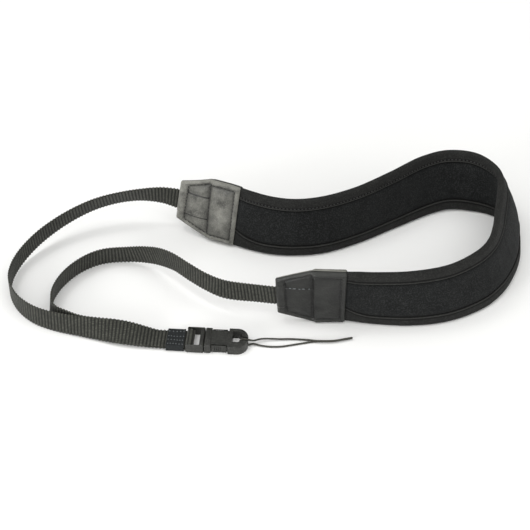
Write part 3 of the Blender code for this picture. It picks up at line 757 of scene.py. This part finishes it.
def makePanel():
    marks = spread(*padSpan, pad["step"])
    shares = [math.sin(math.pi / 2 * share) for share in spread(-1, 1, 1 / 11)]
    mesh = flatSlab(marks, shares)
    stretchFlat(mesh, pad["seam"])

    def onPanel(along, share, side):
        half = padHalf(along)
        low, high = -lowSeam(along) - pad["panelTuck"], pad["seam"] + pad["panelTuck"]
        across = low + (high - low) * (share + 1) / 2
        inside = min(across - low, high - across) - pad["panelTuck"]
        if inside < 0:
            height = half - pad["foldWall"] * pad["tuckDepth"]
        else:
            crown = pad["crown"] * ease(inside / pad["crownWidth"]) * unpressed(along)
            height = half - pad["panelPinch"] * hump(inside, pad["pinchWidth"]) + crown
        # the second value is painted shade along the panel's pinched seams
        return onPad(along, across, side * height), hump(max(inside, 0), pad["panelShadeWidth"])

    shape(mesh, onPanel, withShading=True)
    piece = finishPiece("padPanel", mesh, padCloth, ["pad_core"])
    puffCloth(piece)


def bandPoint(along, share, side, upper):  # share -1..1 goes round the edge, from face to face
    half = padHalf(along)
    seam = pad["seam"] if upper else lowSeam(along)
    reach = pad["width"] / 2 - half
    straight = reach - seam
    if abs(share) > 0.5:
        part = (abs(share) - 0.5) * 2
        outward = (0, math.copysign(1, share))
        across = reach - part * straight
        face = outward[1] * half
        toFold = (1 - part) * straight
    else:
        angle = share * math.pi
        outward = (math.cos(angle), math.sin(angle))
        across = reach + half * outward[0]
        face = half * outward[1]
        toFold = straight
    offset, paintedShading = -pad["foldWall"], 0
    if side > 0:
        rise = math.sin(math.pi * min(toFold / pad["ridgeWidth"], 1))
        groove = hump(toFold - pad["ridgeWidth"] - pad["grooveFrom"], pad["grooveWidth"])
        offset = pad["ridge"] * rise ** 0.8 * unpressed(along) - pad["grooveDepth"] * groove
        # painted shade in the groove beside the fold, painted highlight on the raised ridge
        paintedShading = pad["grooveShade"] * groove - pad["ridgeHighlight"] * rise
    elif toFold < pad["ridgeWidth"]:
        offset = -pad["foldWall"] * 0.8
    across += outward[0] * offset
    face += outward[1] * offset
    return onPad(along, across if upper else -across, face), paintedShading


def makeBand(name, upper, nodeName):
    marks = spread(*padSpan, pad["step"])
    folds = [1 - 0.5 * share ** 1.9 for share in spread(0, 1, 1 / 12)]
    turns = [0.5 * share for share in spread(-1, 1, 1 / 6)]
    shares = sorted({round(value, 6) for value in [*folds, *turns, *[-fold for fold in folds]]})
    mesh = flatSlab(marks, shares)
    stretchFlat(mesh, pad["bandFlat"])
    shape(mesh, lambda along, share, side: bandPoint(along, share, side, upper), withShading=True)
    piece = finishPiece(name, mesh, edgeCloth, [nodeName])


def makePadSeams():  # only the skin side's upper seam shows its stitches
    first = patch["length"] + 0.001
    mesh = bmesh.new()

    def onBand(along, lift=0.0):
        return onPad(along, pad["seam"] + pad["stitchFromFold"], -padHalf(along) - lift)

    for mark in spread(first, padRoute.length - first, pad["stitchPitch"]):
        ends = [onBand(mark + pad["stitchLength"] / 2 * way) for way in (-1, 1)]
        outward = onBand(mark, 0.001) - onBand(mark)
        addStitch(mesh, *ends, outward, pad["stitchWidth"], pad["stitchHeight"])
    finishPiece("padStitches", mesh, darkThread)


makePanel()
makeBand("padBandTop", True, "pad_edge_top")
makeBand("padBandBottom", False, "pad_edge_bottom")
makePadSeams()
print("pad made")


# end patches, two plies each

def patchHalf(x):
    widening = min(max(x / patch["taper"], 0), 1)
    fromCorner = max(0, min(x, patch["length"] - x, patch["corner"]) / patch["corner"])
    rounding = patch["corner"] * (1 - math.sqrt(1 - (1 - fromCorner) ** 2))
    return (patch["endWidth"] + (patch["width"] - patch["endWidth"]) * widening) / 2 - rounding


def seamOutline():
    inset = patch["seamInset"]
    corners = (patch["seamStart"], patch["taper"], patch["length"] - inset)
    upper = [(x, patchHalf(x) - inset) for x in corners]
    lower = [(x, -y) for x, y in reversed(upper)]
    return [Vector(p) for p in upper + lower]


def toSegment(point, a, b):
    span = b - a
    share = min(max((point - a).dot(span) / span.length_squared, 0), 1)
    return (point - a - span * share).length


outline = seamOutline()
crossSeam = (Vector((patch["crossAt"], outline[1].y)), Vector((patch["crossAt"], outline[4].y)))
patchSeams = [*zip(outline, outline[1:] + outline[:1]), crossSeam]


def plyHeights(x, y, side):  # inner and outer face from the middle plane, then the painted shading
    gap = layout["gap"]
    strapHalf, strapThick = webbing["width"] / 2, webbing["thickness"]
    padHalfThick = pad["pinched"] / 2
    beyond = min(max((abs(y) - pad["width"] / 2) / padHalfThick + 1, 0), 1)
    onPadHeight = padHalfThick * math.sqrt(1 - beyond ** 2) + gap
    opening = ease((x - patch["taper"]) / patch["skive"])
    overStrap = ease((strapHalf + patch["strapRamp"] - abs(y)) / patch["strapRamp"])
    flat = gap / 2 + (strapThick / 2 + gap / 2) * overStrap
    inner = flat + (onPadHeight - flat) * opening
    spot = Vector((x, y))
    near = min(toSegment(spot, a, b) for a, b in patchSeams)
    edge = min(x, patch["length"] - x, patchHalf(x) - abs(y))
    inCrease = patch["seamStart"] < x < patch["crossAt"]
    crease = hump(abs(abs(y) - strapHalf - patch["creaseFrom"]), patch["creaseWidth"]) if inCrease else 0
    groove = hump(near, patch["seamWidth"])
    alongWithin = patch["seamStart"] < x < patch["length"] - patch["seamInset"]
    acrossWithin = abs(y) < patchHalf(x) - patch["seamInset"]
    area = patch["withinSeams" if alongWithin and acrossWithin else "border"]
    dome = (1 - math.exp(-near / area["puffWidth"])) * ease(edge / patch["puffEdge"])
    waves = noise.noise(Vector((x, y, side * 0.02 + 0.01)) / patch["waveSize"])
    outer = inner + patch["ply"] + patch["puff"] * dome
    outer += patch["wave"] * waves * ease(edge / patch["waveEdge"])
    outer -= patch["seamDepth"] * groove + patch["creaseDepth"] * crease
    rounding = 1 - math.sqrt(max(0, 1 - (1 - min(edge / patch["edge"], 1)) ** 2))
    outer -= patch["edge"] * patch["edgeFall"] * rounding
    # painted shade: broad round each puffed piece's seams, deep in the seam grooves and creases
    shade = area["paintedShading"] * math.exp(-near / area["shadeWidth"])
    paintedShading = min(1, patch["seamShading"] * groove + shade + patch["creaseShade"] * crease)
    return inner, max(outer, inner + patch["thinnest"]), paintedShading, edge


def makePly(name, fromStart, side, nodeName):
    xs = spread(0, patch["length"], patch["step"])
    ys = spread(-1, 1, patch["step"] / (patch["width"] / 2))
    mesh = flatSlab(xs, ys)
    rim = mesh.verts.layers.float.new("rim")
    paintedShading = mesh.verts.layers.float.new("paintedShading")
    for vert in mesh.verts:
        x, y = vert.co.x, vert.co.y * patchHalf(vert.co.x)
        inner, outer, vert[paintedShading], edge = plyHeights(x, y, side)
        vert[rim] = hump(edge, patch["rimWidth"])
        along = x if fromStart else padRoute.length - x
        vert.co = padRoute.lay(along, y, side * (outer if vert.co.z > 0 else inner))
    material = outerLeather if side > 0 else innerHighlightLeather
    finishPiece(name, mesh, material, [nodeName])


def makePatchStitches(name, fromStart):
    mesh = bmesh.new()
    for side in (-1, 1):
        for a, b in patchSeams:
            span = b - a
            count = max(2, round(span.length / patch["stitchPitch"]))
            for k in range(count):
                ends = []
                for offset in (-0.5, 0.5):
                    share = (k + 0.5) / count + offset * patch["stitchLength"] / span.length
                    spot = a + span * share
                    outer = plyHeights(spot.x, spot.y, side)[1]
                    along = spot.x if fromStart else padRoute.length - spot.x
                    ends.append(padRoute.lay(along, spot.y, side * (outer + patch["stitchLift"])))
                outward = padRoute.lay(along, spot.y, side * (outer + 0.001)) - ends[1]
                addStitch(mesh, *ends, outward, patch["stitchWidth"], patch["stitchHeight"])
    finishPiece(name, mesh, darkThread)


creaseGlints = {
    "runs": [(0.0082, 0.0016), (0.0106, 0.0022), (0.0141, 0.0014), (0.0162, 0.0020), (0.0200, 0.0012)],
    "lift": 0.0002, "width": 0.0007, "height": 0.0004,
}


def makeCreaseGlints(name):  # pale dashes in the near patch's upper crease: painted highlight standing for glints there
    mesh = bmesh.new()
    y = webbing["width"] / 2 + patch["creaseFrom"]
    for x, length in creaseGlints["runs"]:
        rise = plyHeights(x, y, 1)[1] + creaseGlints["lift"]
        ends = [padRoute.lay(padRoute.length - along, y, rise) for along in (x, x + length)]
        outward = padRoute.lay(padRoute.length - x - length, y, rise + 0.001) - ends[1]
        addStitch(mesh, *ends, outward, creaseGlints["width"], creaseGlints["height"])
    finishPiece(name, mesh, paleThread)


# ribbed webbing
webbing = {
    "width": 0.0150, "thickness": 0.0012, "tail": 0.0190, "tailStep": 0.0063, "routeStep": 0.0008,
    "rib": 0.0022, "ribDepth": 0.00024, "samples": 6, "scallop": 0.00060, "scallopReach": 0.002,
    "edge": 0.0007, "edgeThin": 0.35,
    "nearRows": [
        (0.473, 0.222, 0.270, 2), (0.411, 0.262, 0.225, -2), (0.376, 0.303, 0.240, 0), (0.345, 0.358, 0.250, 0),
        (0.308, 0.438, 0.225, 2), (0.268, 0.515, 0.095, 5), (0.222, 0.550, 0.010, 9), (0.169, 0.538, 0, 9),
        (0.131, 0.484, 0, 9), (0.100, 0.392, 0, 8), (0.086, 0.300, 0, 7), (0.086, 0.232, 0, 7),
        (0.095, 0.180, 0, 8), (0.118, 0.147, 0, 10),
    ],
    "sharedRows": [
        (0.288, 0.073, 0, -89), (0.267, 0.075, 0.004, -79), (0.237, 0.078, 0.006, -60),
        (0.211, 0.081, 0.003, -40), (0.184, 0.088, 0, -21), (0.146, 0.107, 0, -11),
    ],
    "farRows": [
        (0.096, 0.138, 0, -6), (0.057, 0.178, 0, -3), (0.023, 0.248, 0.001, 0), (0.002, 0.345, 0.002, 0),
        (0.000, 0.438, 0.002, -2), (0.013, 0.537, 0.020, -4), (0.041, 0.627, 0.095, -9),
        (0.076, 0.697, 0.180, -14), (0.117, 0.753, 0.270, -19), (0.155, 0.787, 0.340, -23),
        (0.202, 0.808, 0.400, -25), (0.245, 0.816, 0.420, -20), (0.284, 0.813, 0.410, -6),
    ],
}
buckle = {
    "along": 0.3506, "back": 0.0640, "turn": -4, "height": 0.0060,
    "bar": 0.0022, "rail": 0.0010, "play": 0.0003, "railEnd": 0.0024, "window": 0.0061, "flange": 0.0026,
    "socketWidth": 0.0170, "socketFlange": 0.0042, "notchLength": 0.0104, "notchDepth": 0.0021,
    "recess": 0.0010, "neck": 0.0032, "plate": 0.0013, "arm": 0.0018,
    "ringLength": 0.0122, "ringStraight": 0.0055, "holeLength": 0.0062, "holeStraight": 0.0030,
    "bridge": 0.0023, "rimSide": 0.0022, "holeShift": 0.0014, "slot": 0.0009,
    "saddleWidth": 0.0036, "saddleDepth": 0.0018, "saddleFrom": 0.6, "bodyInset": 0.0002, "barInset": 0.0004,
    "baseRound": 0.0009, "flangeRound": 0.0006, "ringRound": 0.0008, "buttonRound": 0.00035,
    "roundAbove": 35,
    "grips": 4, "gripFirst": 0.0022, "gripPitch": 0.0013, "gripWidth": 0.0004, "gripDepth": 0.00022,
    "gripMargin": 0.0008, "lap": 0.001, "below": -0.006, "above": 0.012,
}
wrap = {
    "length": 0.0110, "wall": 0.0005, "gap": 0.0011, "corner": 0.0011, "step": 0.0005,
    "hem": 0.00012, "hemWidth": 0.0004, "endDrop": 0.0001, "endWidth": 0.0002,
    "rows": [(0.0054, 0.0024), (0.0009, 0.00175), (-0.0024, 0.0019), (-0.0059, 0.00175)],  # across, pitch
    "inset": 0.0010, "stitchLength": 0.0007, "stitchWidth": 0.0006, "stitchHeight": 0.0004,
    "stitchLift": 0.00004, "stray": 0.00022, "zigzag": 0.0002,
}
barTurn = {"start": -95, "end": 130, "step": 25}

stackPitch = webbing["thickness"] + layout["gap"]
upperRise = wrap["wall"] + 2 * layout["gap"] + 1.5 * webbing["thickness"]
buckleTurn = Matrix.Rotation(math.radians(buckle["turn"]), 4, "Z")
buckleMatrix = Matrix.Translation(place(buckle["along"], buckle["back"], 0)) @ buckleTurn
wrapStart = buckle["railEnd"] + wrap["gap"]
wrapEnds = (wrapStart, wrapStart + wrap["length"])


def strapRise(lift, lean):
    return lowestReach(webbing["width"] / 2, webbing["thickness"], lean) + lift * pad["width"]


def sharedRise(lift, lean):  # climbs onto the lower run as it turns flat
    flatness = abs(math.sin(lean))
    wrapStep = upperRise - webbing["thickness"] / 2 - stackPitch
    return strapRise(lift, lean) + stackPitch * flatness + wrapStep * flatness ** 2


def patchTail(fromStart):
    marks = spread(0, webbing["tail"], webbing["tailStep"])[::-1]
    spots = [m if fromStart else padRoute.length - m for m in marks]
    return [padRoute.lay(m) for m in spots], [padRoute.acrossAt(m) for m in spots]


def wrapRun(rise):
    near, far = wrapEnds
    return [buckleMatrix @ Vector((-d, 0, rise)) for d in (near, (near + far) / 2, far)]


def roundBar():
    radius = buckle["bar"] / 2 + layout["gap"] + webbing["thickness"] / 2
    points = []
    for degrees in range(barTurn["start"], barTurn["end"] + 1, barTurn["step"]):
        angle = math.radians(degrees)
        local = (radius * math.cos(angle), 0, buckle["height"] / 2 + radius * math.sin(angle))
        points.append(buckleMatrix @ Vector(local))
    return points


def webbingRoute():
    points, acrosses = patchTail(False)
    nearPoints, nearAcrosses = rowControls([(webbing["nearRows"], strapRise)])
    runTables = [(webbing["sharedRows"], sharedRise), (webbing["farRows"], strapRise)]
    runPoints, runAcrosses = rowControls(runTables)
    under = []
    shared = len(webbing["sharedRows"])
    for point, across, heading in zip(runPoints, runAcrosses, headingsOf(runPoints)[:shared]):
        under.append((point - across.cross(heading).normalized() * stackPitch, across))
    under.reverse()
    points += nearPoints + [p for p, a in under]
    acrosses += nearAcrosses + [a for p, a in under]
    middle = wrapRun(upperRise - stackPitch)[::-1] + roundBar() + wrapRun(upperRise)
    tailPoints, tailAcrosses = patchTail(True)
    points += middle + runPoints + tailPoints[::-1]
    acrosses += [buckleMatrix.to_3x3() @ Vector((0, 1, 0))] * len(middle)
    acrosses += runAcrosses + tailAcrosses[::-1]
    return Route(points, acrosses, webbing["routeStep"])


def makeWebbing():
    route = webbingRoute()
    half, thin = webbing["width"] / 2, webbing["thickness"] / 2
    marks = spread(0, route.length, webbing["rib"] / webbing["samples"])
    shares = [math.sin(math.pi / 2 * share) for share in spread(-1, 1, 1 / 7)]
    mesh = flatSlab(marks, [share * half for share in shares])

    def onStrap(along, across, side):
        valley = 0.5 + 0.5 * math.cos(2 * math.pi * along / webbing["rib"])
        fromEdge = half - abs(across)
        thickness = thin - webbing["ribDepth"] * valley
        if fromEdge < webbing["edge"]:
            rounding = math.sqrt(1 - (1 - fromEdge / webbing["edge"]) ** 2)
            thickness *= webbing["edgeThin"] + (1 - webbing["edgeThin"]) * rounding
        reach = 1 - webbing["scallop"] * valley / half * ease(1 - fromEdge / webbing["scallopReach"])
        return route.lay(along, across * reach, side * thickness)

    shape(mesh, onStrap)
    finishPiece("strapWebbing", mesh, makeWebbingMaterial(webbing["rib"]), ["strap_webbing"], 60)
    print("webbing length", route.length)


for end, fromStart in (("Back", True), ("Front", False)):
    for ply, side in (("Outer", 1), ("Inner", -1)):
        makePly("patch" + end + ply, fromStart, side, "patch_" + end.lower() + "_" + ply.lower())
    makePatchStitches("patch" + end + "Stitches", fromStart)
makeCreaseGlints("patchFrontCreaseGlints")
print("patches made")
makeWebbing()
print("webbing made")


# stitched wrap round the two runs of webbing

def makeWrap():
    near, far = wrapEnds
    halfWidth = webbing["width"] / 2 + layout["gap"] + wrap["wall"]
    height = 2 * webbing["thickness"] + 3 * layout["gap"] + 2 * wrap["wall"]
    halfHeight, corner = height / 2, wrap["corner"]
    quarter = math.pi / 2 * corner
    lengths = [2 * (halfHeight - corner), quarter, 2 * (halfWidth - corner), quarter] * 2
    around = sum(lengths)

    def profile(distance, lift):
        centre = Vector((halfWidth - corner, -(halfHeight - corner)))
        turn = 0.0
        for i, length in enumerate(lengths):
            if distance > length + 1e-9:
                distance -= length
                if i % 2 == 0:
                    centre = centre + Vector((-math.sin(turn), math.cos(turn))) * length
                else:
                    turn += math.pi / 2
                continue
            if i % 2:
                angle = turn + distance / corner
                return centre + Vector((math.cos(angle), math.sin(angle))) * (corner + lift)
            forward = Vector((-math.sin(turn), math.cos(turn)))
            outward = Vector((math.cos(turn), math.sin(turn)))
            return centre + forward * distance + outward * (corner + lift)

    mesh = flatSlab(spread(-far, -near, wrap["step"]), spread(0, around, wrap["step"]))

    def onWrap(x, distance, side):
        toEnd = min(x + far, -near - x)
        lift = 0 if side > 0 else -wrap["wall"]
        if side > 0:
            hem = wrap["hem"] * hump(toEnd - wrap["hemWidth"], wrap["hemWidth"])
            lift += hem - wrap["endDrop"] * hump(toEnd, wrap["endWidth"])
        y, z = profile(distance, lift)
        return buckleMatrix @ Vector((x, y, z + halfHeight))

    shape(mesh, onWrap)
    bmesh.ops.remove_doubles(mesh, verts=mesh.verts, dist=1e-6)
    finishPiece("strapWrap", mesh, wrapCloth, ["strap_wrap"])
    stitches = bmesh.new()
    for level, outward in ((height + wrap["stitchLift"], up), (-wrap["stitchLift"], -up)):
        for row, (y, pitch) in enumerate(wrap["rows"]):
            for k, x in enumerate(spread(-far + wrap["inset"], -near - wrap["inset"], pitch)):
                stray = Vector((math.sin(7.1 * k + 3 * row), math.sin(5.3 * k + row))) * wrap["stray"]
                middle = Vector((x, y)) + stray
                reach = Vector((wrap["stitchLength"] / 2, wrap["zigzag"] * (-1) ** k))
                ends = [buckleMatrix @ Vector((*(middle + reach * way), level)) for way in (-1, 1)]
                addStitch(stitches, *ends, outward, wrap["stitchWidth"], wrap["stitchHeight"])
    finishPiece("wrapStitches", stitches, paleThread)


makeWrap()
print("wrap made")


# side-release buckle

def box(name, xRange, yRange, zRange):
    mesh = bmesh.new()
    bmesh.ops.create_cube(mesh, size=1)
    size = [high - low for low, high in (xRange, yRange, zRange)]
    centre = [(low + high) / 2 for low, high in (xRange, yRange, zRange)]
    bmesh.ops.scale(mesh, vec=size, verts=mesh.verts)
    bmesh.ops.translate(mesh, vec=centre, verts=mesh.verts)
    return solid(name, mesh)


def drum(name, centreX, radiusX, radiusY, zRange, segments=40):
    mesh = bmesh.new()
    depth = zRange[1] - zRange[0]
    bmesh.ops.create_cone(mesh, cap_ends=True, segments=segments, radius1=1, radius2=1, depth=depth)
    bmesh.ops.scale(mesh, vec=(radiusX, radiusY, 1), verts=mesh.verts)
    bmesh.ops.translate(mesh, vec=(centreX, 0, sum(zRange) / 2), verts=mesh.verts)
    return solid(name, mesh)


def solid(name, mesh):
    data = bpy.data.meshes.new(name)
    mesh.to_mesh(data)
    mesh.free()
    made = bpy.data.objects.new(name, data)
    bpy.context.scene.collection.objects.link(made)
    return made


def carve(piece, other, operation="DIFFERENCE"):
    step = piece.modifiers.new(other.name, "BOOLEAN")
    step.operation = operation
    step.object = other
    step.solver = "EXACT"
    applyModifiers(piece)
    bpy.data.objects.remove(other, do_unlink=True)


def applyModifiers(piece):
    bpy.context.view_layer.update()
    graph = bpy.context.evaluated_depsgraph_get()
    data = bpy.data.meshes.new_from_object(piece.evaluated_get(graph))
    piece.modifiers.clear()
    piece.data = data


def smoothEdges(piece, width, segments=3):
    step = piece.modifiers.new("rounded", "BEVEL")
    step.width = width
    step.segments = segments
    step.limit_method = "ANGLE"
    step.angle_limit = math.radians(buckle["roundAbove"])
    applyModifiers(piece)


def seatBuckle(piece, nodeName):
    mesh = bmesh.new()
    mesh.from_mesh(piece.data)
    bmesh.ops.remove_doubles(mesh, verts=mesh.verts, dist=1e-6)
    bmesh.ops.transform(mesh, matrix=buckleMatrix, verts=mesh.verts)
    name = piece.name
    bpy.data.objects.remove(piece, do_unlink=True)
    finishPiece(name, mesh, mouldedPlastic, [nodeName], 40)


def bothSides(yLow, yHigh):
    return ((yLow, yHigh), (-yHigh, -yLow))


def makeBase():
    height = buckle["height"]
    half = webbing["width"] / 2 + buckle["play"] + buckle["rail"]
    end = buckle["window"] + buckle["flange"]
    gap = layout["gap"]
    base = box("buckleBase", (-buckle["railEnd"], end), (-half, half), (0, height))
    smoothEdges(base, buckle["baseRound"], 4)
    inside = half - buckle["rail"]
    through, lap = (buckle["below"], buckle["above"]), buckle["lap"]
    carve(base, box("window", (buckle["below"], buckle["window"]), (-inside, inside), through))
    barRange = (-half + buckle["barInset"], half - buckle["barInset"])
    bar = drum("bar", 0, buckle["bar"] / 2, buckle["bar"] / 2, barRange, 24)
    bar.data.transform(Matrix.Translation((0, 0, height / 2)) @ Matrix.Rotation(math.pi / 2, 4, "X"))
    carve(base, bar, "UNION")
    notchStart = end + gap + buckle["socketFlange"]
    notchEnd = notchStart + buckle["notchLength"]
    bodyHalf = buckle["socketWidth"] / 2 - buckle["notchDepth"]
    armLow = buckle["plate"] + gap
    armZ = (armLow, height - armLow)
    armOuter = bodyHalf - gap
    reach = notchEnd - gap
    outer = buckle["socketWidth"] / 2 - buckle["recess"]
    for low, high in bothSides(armOuter - buckle["arm"], armOuter):
        carve(base, box("arm", (end - lap, reach), (low, high), armZ), "UNION")
    for low, high in bothSides(armOuter - buckle["arm"] / 2, (bodyHalf + outer) / 2):
        carve(base, box("armNeck", (notchEnd - buckle["neck"], reach), (low, high), armZ), "UNION")
    for low, high in bothSides(bodyHalf + buckle["slot"], outer):
        buttonX = (notchStart + gap, reach - buckle["slot"] + gap)
        button = box("button", buttonX, (low, high), (gap, height - gap))
        smoothEdges(button, buckle["buttonRound"])
        carve(base, button, "UNION")
    gripZ = (buckle["gripMargin"], height - buckle["gripMargin"])
    for k in range(buckle["grips"]):  # grip grooves on the buttons
        x = notchStart + buckle["gripFirst"] + buckle["gripPitch"] * k
        for low, high in bothSides(outer - buckle["gripDepth"], outer + lap):
            carve(base, box("grip", (x, x + buckle["gripWidth"]), (low, high), gripZ))
    seatBuckle(base, "buckle_base")


def makeSocket():
    height = buckle["height"]
    half = buckle["socketWidth"] / 2
    bodyHalf = half - buckle["notchDepth"]
    start = buckle["window"] + buckle["flange"] + layout["gap"]
    notchStart = start + buckle["socketFlange"]
    notchEnd = notchStart + buckle["notchLength"]
    ringEnd = notchEnd + buckle["ringLength"]
    archStart = notchEnd + buckle["ringStraight"]
    socket = box("buckleSocket", (start, notchStart), (-half, half), (0, height))
    smoothEdges(socket, buckle["flangeRound"])
    lap, bodyZ = buckle["lap"], (buckle["bodyInset"], height - buckle["bodyInset"])
    body = box("body", (notchStart - lap, notchEnd + lap), (-bodyHalf, bodyHalf), bodyZ)
    ring = box("ring", (notchEnd, archStart), (-half, half), (0, height))
    carve(ring, drum("arch", archStart, ringEnd - archStart, half, (0, height)), "UNION")
    smoothEdges(ring, buckle["ringRound"], 4)
    carve(socket, body, "UNION")
    carve(socket, ring, "UNION")
    cavity = (buckle["plate"], height - buckle["plate"])
    carve(socket, box("throat", (start - 4 * lap, notchEnd), (-bodyHalf, bodyHalf), cavity))
    carve(socket, box("gates", (notchStart, notchEnd), (-half, half), cavity))
    holeStart = notchEnd + buckle["bridge"]
    holeArch = holeStart + buckle["holeStraight"]
    holeHalf = half - buckle["rimSide"] - buckle["holeShift"]
    through = (buckle["below"], buckle["above"])
    hole = box("hole", (holeStart, holeArch), (-holeHalf, holeHalf), through)
    archReach = buckle["holeLength"] - buckle["holeStraight"]
    carve(hole, drum("holeArch", holeArch, archReach, holeHalf, through), "UNION")
    smoothEdges(hole, buckle["ringRound"], 4)
    hole.data.transform(Matrix.Translation((0, buckle["holeShift"], 0)))
    carve(socket, hole)
    saddleX = (holeStart + buckle["holeLength"] * buckle["saddleFrom"], ringEnd + 2 * lap)
    saddleHalf = buckle["saddleWidth"] / 2  # the rim is thinner where the cord goes round it
    upperCut = (height - buckle["saddleDepth"], buckle["above"])
    for zRange in (upperCut, (buckle["below"], buckle["saddleDepth"])):
        carve(socket, box("saddle", saddleX, (-saddleHalf, saddleHalf), zRange))
    seatBuckle(socket, "buckle_socket")


makeBase()
makeSocket()
print("buckle made")


# floor and soft light

studio = {
    "floor": (0.9, 0.9, 0.893), "floorRoughness": 0.9, "floorShine": 0.1, "floorSize": 6, "floorDrop": 0.0001,
    "skyColor": (1, 1, 0.985), "sky": 1.06, "backSky": 0.24, "skyFrom": -0.15, "skyTo": 0.7,
    "lights": [  # name, place, size, power
        ("ceiling", (0.0, -0.1, 1.6), 2.6, 11.0),
        ("key", (-0.55, 0.1, 1.3), 0.3, 1.7),
        ("window", (-0.95, -0.9, 0.35), 0.45, 7.0),
    ],
}


def makeFloor():
    mesh = bmesh.new()
    bmesh.ops.create_grid(mesh, x_segments=1, y_segments=1, size=studio["floorSize"])
    data = bpy.data.meshes.new("floor")
    mesh.to_mesh(data)
    mesh.free()
    looks = {"roughness": studio["floorRoughness"], "shine": studio["floorShine"]}
    material, tree, shader = newMaterial("paperFloor", looks)
    shader.inputs["Base Color"].default_value = rgba(studio["floor"])
    data.materials.append(material)
    floor = bpy.data.objects.new("floor", data)
    floor.location.z = -studio["floorDrop"]
    bpy.context.scene.collection.objects.link(floor)


def makeLights():
    world = bpy.data.worlds.new("studio")
    bpy.context.scene.world = world
    world.use_nodes = True
    tree = world.node_tree
    direction = node(tree, "ShaderNodeTexCoord").outputs["Generated"]
    back = node(tree, "ShaderNodeSeparateXYZ", {0: direction}).outputs["Y"]
    fade = {
        "Value": back, "From Min": studio["skyFrom"], "From Max": studio["skyTo"],
        "To Min": studio["sky"], "To Max": studio["backSky"],
    }
    strength = node(tree, "ShaderNodeMapRange", fade, interpolation_type="SMOOTHSTEP")
    sky = tree.nodes["Background"]
    sky.inputs["Color"].default_value = rgba(studio["skyColor"])
    tree.links.new(strength.outputs[0], sky.inputs["Strength"])
    for name, spot, size, power in studio["lights"]:
        data = bpy.data.lights.new(name, "AREA")
        data.shape = "DISK"
        data.size = size
        data.energy = power
        lamp = bpy.data.objects.new(name, data)
        lamp.location = spot
        lamp.rotation_euler = (-Vector(spot)).to_track_quat("-Z", "Y").to_euler()
        bpy.context.scene.collection.objects.link(lamp)
    bpy.context.scene.view_settings.view_transform = "Standard"


makeFloor()
makeLights()
print("studio made")
